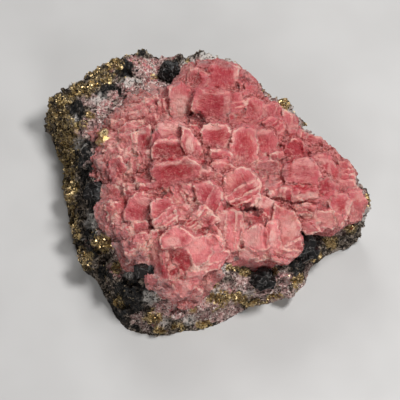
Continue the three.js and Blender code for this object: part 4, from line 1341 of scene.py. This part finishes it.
def rhodochrositeMaterial():
    look = NodeSet("frosted rhodochrosite", crustColours)
    growth = look.read("growth", "Vector")
    mottle = look.noise(330, 6, 0.62)
    patch = look.noise(480, 2)
    blotch = look.noise(150, 4, 0.6)
    speck = look.noise(1100, 3)
    streak = look.streaks(growth, (0.25, 1.5, 0.7), 4)
    hair = look.streaks(growth, (0.6, 3.4, 1.6), 3)
    names = ("inside", "below", "hollow", "basin", "tone", "tint", "coral", "red")
    inside, below, hollow, basin, tone, tint, coral, red = (look.read(name) for name in names)
    # The clear pink of the crystals, clouded and streaked
    look.body = look.mix(look.ramp(look.noise(120, 3), 0.35, 0.65), "pink", "warmPink")
    look.washes([
        ("cloud", tone, 0.55, 1.0, 0.5),
        ("red", tone, 0.4, 0.0, 0.45),
        ("cloud", mottle, 0.52, 0.68, 0.6),
        ("red", mottle, 0.44, 0.3, 0.4),
        ("rim", patch, 0.54, 0.66, 0.4),
        ("red", patch, 0.45, 0.34, 0.4),
        ("rim", blotch, 0.51, 0.61, 0.5),
        ("red", blotch, 0.48, 0.38, 0.7),
        ("cloud", streak, 0.5, 0.68, 0.55),
        ("red", streak, 0.48, 0.32, 0.4),
        ("red", below, 0.4, 2.6, 0.6),
    ])
    look.wash("coral", look.times(coral, 0.8))
    # Cloudy near the rim of each crystal and redder in its middle, with a frosted rim
    wander = look.times(look.plus(look.noise(600, 3), -0.5), 1.6)
    depth = look.plus(inside, look.times(wander, 1.5))
    look.wash("cloud", look.ramp(depth, 0.2, 2.6, 0.7, 0))
    look.washes([("red", depth, 1.6, 4.2, 0.42), ("cloud", hollow, -0.08, -0.5, 0.55)])
    # pale places, in part painted highlight on lit ridges and ledges
    look.wash("pale", look.times(look.read("pale"), look.ramp(mottle, 0.3, 0.6, 0.5, 1.0)))
    rim = look.times(
        look.ramp(look.plus(inside, wander), 0.2, 0.9, 1, 0),
        look.ramp(look.plus(below, wander), 0.3, 1.0, 1, 0),
        look.ramp(look.read("bare"), 0.2, 0.8, 1, 0),
        look.ramp(look.noise(210, 3), 0.36, 0.56, 0.1, 1.0),
        look.ramp(tint, 0, 1, 1, 0.6),
    )
    look.wash("rim", rim)
    # deep red places, in part painted shade under plates and steps
    stain = look.timesWithin(red, look.ramp(mottle, 0.3, 0.68, 1.5, 0.7))
    look.wash("red", look.times(stain, look.ramp(rim, 0, 1, 1, 0.5)))
    # Sugary druse on the small crystals, and dull rock where the crust is thin, also painted shade on
    # shaded faces
    druse = look.times(look.most(look.read("fine"), look.read("minor")), 0.7)
    sandy = look.mix(look.ramp(look.noise(190, 4), 0.5, 0.62), "druse", "sand")
    look.wash(sandy, look.times(druse, look.ramp(speck, 0.36, 0.58, 0.2, 0.8)))
    look.wash("rose", look.times(tint, 0.46))
    look.wash("coral", look.times(coral, 0.3))
    ashen = look.mix(look.ramp(mottle, 0.42, 0.6), "mauve", "ash")
    uneven = look.ramp(look.noise(300, 5, 0.65), 0.42, 0.6, 1.0, 0.45)
    look.wash(ashen, look.times(look.read("dull"), uneven))
    patchy = look.ramp(look.noise(240, 4), 0.36, 0.56, 1, 0.35)
    look.wash("greyDruse", look.times(look.read("border"), patchy))
    look.wash("pit", look.times(druse, look.ramp(mottle, 0.42, 0.3, 0, 0.5)))
    # Painted shade in the clefts and cavities, flecked with druse, and fine flecks and hairs over all
    # the deeper below its surroundings a place lies, the more painted shade, in patches
    cleftShade = look.most(look.ramp(hollow, 0.1, 0.6, 0, 0.75), look.ramp(basin, 0.15, 0.7, 0, 0.4))
    cleftShade = look.timesWithin(cleftShade, look.ramp(look.noise(85, 2), 0.42, 0.6, 0.3, 1.3))
    look.wash(look.mix(look.ramp(speck, 0.44, 0.6), "cleftShade", "druse"), cleftShade)
    # painted shade in the cavities
    look.washes([("cavityShade", look.read("cavity"), 0.2, 0.8, 0.9)])
    look.wash("rim", look.times(look.ramp(look.noise(560, 4, 0.7), 0.5, 0.64, 0, 0.35), red))
    look.washes([("rim", hair, 0.54, 0.7, 0.34), ("red", hair, 0.45, 0.32, 0.3)])
    height = look.plus(look.times(speck, 0.5), look.times(look.cells(1500), 0.4), look.times(streak, 0.8),
                       look.times(hair, 0.6))
    return look.finish({
        "Base Color": look.body,
        "Roughness": look.ramp(mottle, 0.3, 0.7, 0.42, 0.65),
        "Specular IOR Level": 0.35,
        "Subsurface Weight": 0.75,
        "Subsurface Radius": (1.0, 0.45, 0.42),
        "Subsurface Scale": 1.5 * mm,
        "IOR": 1.6,
        "Normal": look.bump(height, 0.4 * mm, 0.9),
    })


rockColours = {
    "base": (0.088, 0.067, 0.048),
    "light": (0.32, 0.26, 0.21),
    "dark": (0.018, 0.014, 0.012),
    "goldBrown": (0.060, 0.042, 0.022),
    "gold": (0.62, 0.45, 0.19),
    "quartz": (0.62, 0.58, 0.54),
    "paintedGlint": (0.85, 0.74, 0.68),
    "carbonate": (0.64, 0.43, 0.40),
    "mauve": (0.34, 0.19, 0.175),
    "blush": (0.50, 0.17, 0.17),
    "black": (0.010, 0.010, 0.010),
}


def rockMaterial():
    look = NodeSet("granular ore", rockColours)
    coarse = look.noise(300, 5)
    fine = look.noise(900, 4)
    value, other = look.cellTones(1100)
    pit, glow = look.cellTones(1700)
    # Dark and light grains, then the minerals of each patch
    look.body = look.mix(look.ramp(value, 0.25, 0.9), "dark", "base")
    look.washes([("light", look.read("tone"), 0.55, 0.95, 0.7)])
    carbonate = look.times(look.read("carbonate"), look.ramp(coarse, 0.3, 0.55, 0.45, 1.0))
    look.wash(look.mix(look.ramp(value, 0.1, 0.7), "mauve", "carbonate"), carbonate)
    blush = look.mix(look.ramp(fine, 0.42, 0.58), "blush", "carbonate")
    look.wash(blush, look.times(look.read("blush"), look.ramp(coarse, 0.4, 0.54, 0.3, 1)))
    # black grains, and over the left and lower-left walls painted shade
    black = look.ramp(look.plus(look.read("black"), look.times(coarse, 0.5)), 0.6, 0.95)
    look.wash("black", black)
    quartz = look.times(look.read("quartz"), look.ramp(fine, 0.3, 0.55, 0.4, 1.0))
    look.wash("quartz", quartz)
    gold = look.times(look.read("gold"), look.ramp(coarse, 0.36, 0.6, 0.2, 1.0))
    look.wash("goldBrown", look.times(gold, look.ramp(look.read("carbonate"), 0.2, 0.8, 1.0, 0.45)))
    shiny = look.times(gold, look.ramp(other, 0.45, 0.7))
    look.wash("gold", shiny)
    # Dark gaps between the grains, and painted glints on grains
    white = look.most(carbonate, quartz)
    rift = look.ramp(look.noise(330, 6, 0.7), 0.43, 0.36, 0, 0.95)
    gaps = look.most(look.ramp(pit, 0.26, 0.16, 0, 0.9), rift)
    look.wash("dark", look.times(gaps, look.ramp(white, 0.3, 1, 1, 0.75)))
    # painted highlights: gold in the gold patches, pale elsewhere
    bright = look.mix(gold, look.mix(white, "light", "paintedGlint"), "gold")
    look.wash(bright, look.times(look.ramp(glow, 0.77, 0.87, 0, 0.85), look.ramp(black, 0, 1, 1, 0.2)))
    height = look.plus(look.times(value, 0.6), look.times(fine, 0.8), look.times(pit, 0.5))
    return look.finish({
        "Base Color": look.body,
        "Metallic": look.times(shiny, 0.85),
        "Specular IOR Level": 0.18,
        "Roughness": look.plus(look.times(black, -0.3), 0.72, look.times(shiny, -0.34)),
        "Normal": look.bump(height, 0.4 * mm, 0.9),
    })


# Each pyrite: roughness, then the colours of its dark and light parts and of the dust on it
pyriteDust = (0.2, 0.13, 0.06)
pyriteLooks = {
    "pyrite grains": (0.22, (0.28, 0.185, 0.08), (0.72, 0.55, 0.29)),
    "bright pyrite": (0.24, (0.50, 0.36, 0.16), (0.95, 0.80, 0.48)),
}


def pyriteMaterial(name):
    roughness, dark, light = pyriteLooks[name]
    look = NodeSet(name)
    dust = look.noise(1500, 3)
    look.body = look.mix(look.ramp(look.noise(700, 3), 0.35, 0.65), dark, light)
    look.washes([(pyriteDust, dust, 0.58, 0.7, 0.6)])
    return look.finish({
        "Base Color": look.body,
        "Metallic": 0.95,
        "Roughness": look.ramp(dust, 0.35, 0.65, roughness, roughness + 0.2),
        "Normal": look.bump(dust, 0.05 * mm, 0.5),
    })


sphaleriteColours = {
    "black": (0.004, 0.0035, 0.0035),
    "brown": (0.022, 0.016, 0.015),
    "vein": (0.26, 0.24, 0.23),
}


def sphaleriteMaterial():
    look = NodeSet("black sphalerite", sphaleriteColours)
    dust = look.noise(1000, 4)
    look.body = look.mix(look.ramp(dust, 0.45, 0.75), "black", "brown")
    line = look.combine("ABSOLUTE", look.plus(look.noise(240, 5), -0.5), 0)
    look.wash("vein", look.ramp(line, 0.0, 0.012, 0.7, 0.0))
    return look.finish({
        "Base Color": look.body,
        "Roughness": look.ramp(dust, 0.3, 0.7, 0.26, 0.6),
        "Specular IOR Level": 0.28,
        "Normal": look.bump(dust, 0.12 * mm, 0.6),
    })


def floorMaterial():
    look = NodeSet("pale floor", {"shade": (0.56, 0.55, 0.54), "light": (0.60, 0.59, 0.58)})
    tint = look.ramp(look.noise(30, 2), 0.3, 0.7)
    return look.finish({"Base Color": look.mix(tint, "shade", "light"), "Roughness": 0.7})


# Studio

# Each light with its place, size and power
studioStyle = {
    "floorSize": 1.6,
    "lights": [
        ("key", (0.2, -0.04, 0.56), 0.14, 2.55),
        ("back", (-0.05, 0.4, 0.42), 0.24, 0.95),
        ("front", (0.06, -0.5, 0.34), 0.3, 1.1),
    ],
    "aim": Vector((0, 0, 0.03)),
    "world": 0.08,
}


def buildStudio():
    bm = bmesh.new()
    bmesh.ops.create_grid(bm, x_segments=4, y_segments=4, size=studioStyle["floorSize"] / 2)
    floor = addPiece("floor", addMesh("floor", bm))
    floor.data.materials.append(floorMaterial())
    for name, place, size, power in studioStyle["lights"]:
        data = bpy.data.lights.new(name, "AREA")
        data.shape = "DISK"
        data.size = size
        data.energy = power
        lamp = addPiece(name, data)
        lamp.location = place
        lamp.rotation_euler = (studioStyle["aim"] - Vector(place)).to_track_quat("-Z", "Y").to_euler()
    world = bpy.data.worlds.new("studio")
    world.use_nodes = True
    background = world.node_tree.nodes["Background"]
    background.inputs["Color"].default_value = (1, 1, 1, 1)
    background.inputs["Strength"].default_value = studioStyle["world"]
    bpy.context.scene.world = world
    bpy.context.scene.view_settings.view_transform = "Standard"


def buildCamera():
    data = bpy.data.cameras.new("camera")
    camera = addPiece("camera", data)
    half = photoView["frame"] / 2
    across = (half - photoView["centreU"]) * pixel
    up = (photoView["centreV"] - half) * pixel
    target = viewOrigin + viewRight * across + viewUp * up + viewToward * photoView["depth"]
    camera.location = target + viewToward * photoView["distance"]
    camera.rotation_euler = viewToward.to_track_quat("Z", "Y").to_euler()
    data.angle = 2 * math.atan(half * pixel / photoView["distance"])
    data.clip_start = 0.05
    data.clip_end = 10
    bpy.context.scene.camera = camera


def dress(piece, material, node=None):
    piece.data.materials.clear()
    piece.data.materials.append(material)
    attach(piece, "root")
    if node:
        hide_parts(node)


buildCamera()
buildStudio()
dress(buildCrust(), rhodochrositeMaterial(), "rhodochrosite_crystals")
rock = buildRock()
dress(rock, rockMaterial(), "pyrite_matrix")
dress(buildGrains(rock), pyriteMaterial("pyrite grains"))
blackLook = sphaleriteMaterial()
for node, name in blackNodes.items():
    dress(buildBlack(node, name), blackLook, node)
dress(buildPyriteCrystals(), pyriteMaterial("bright pyrite"), "pyrite_crystals")
print("dressed")
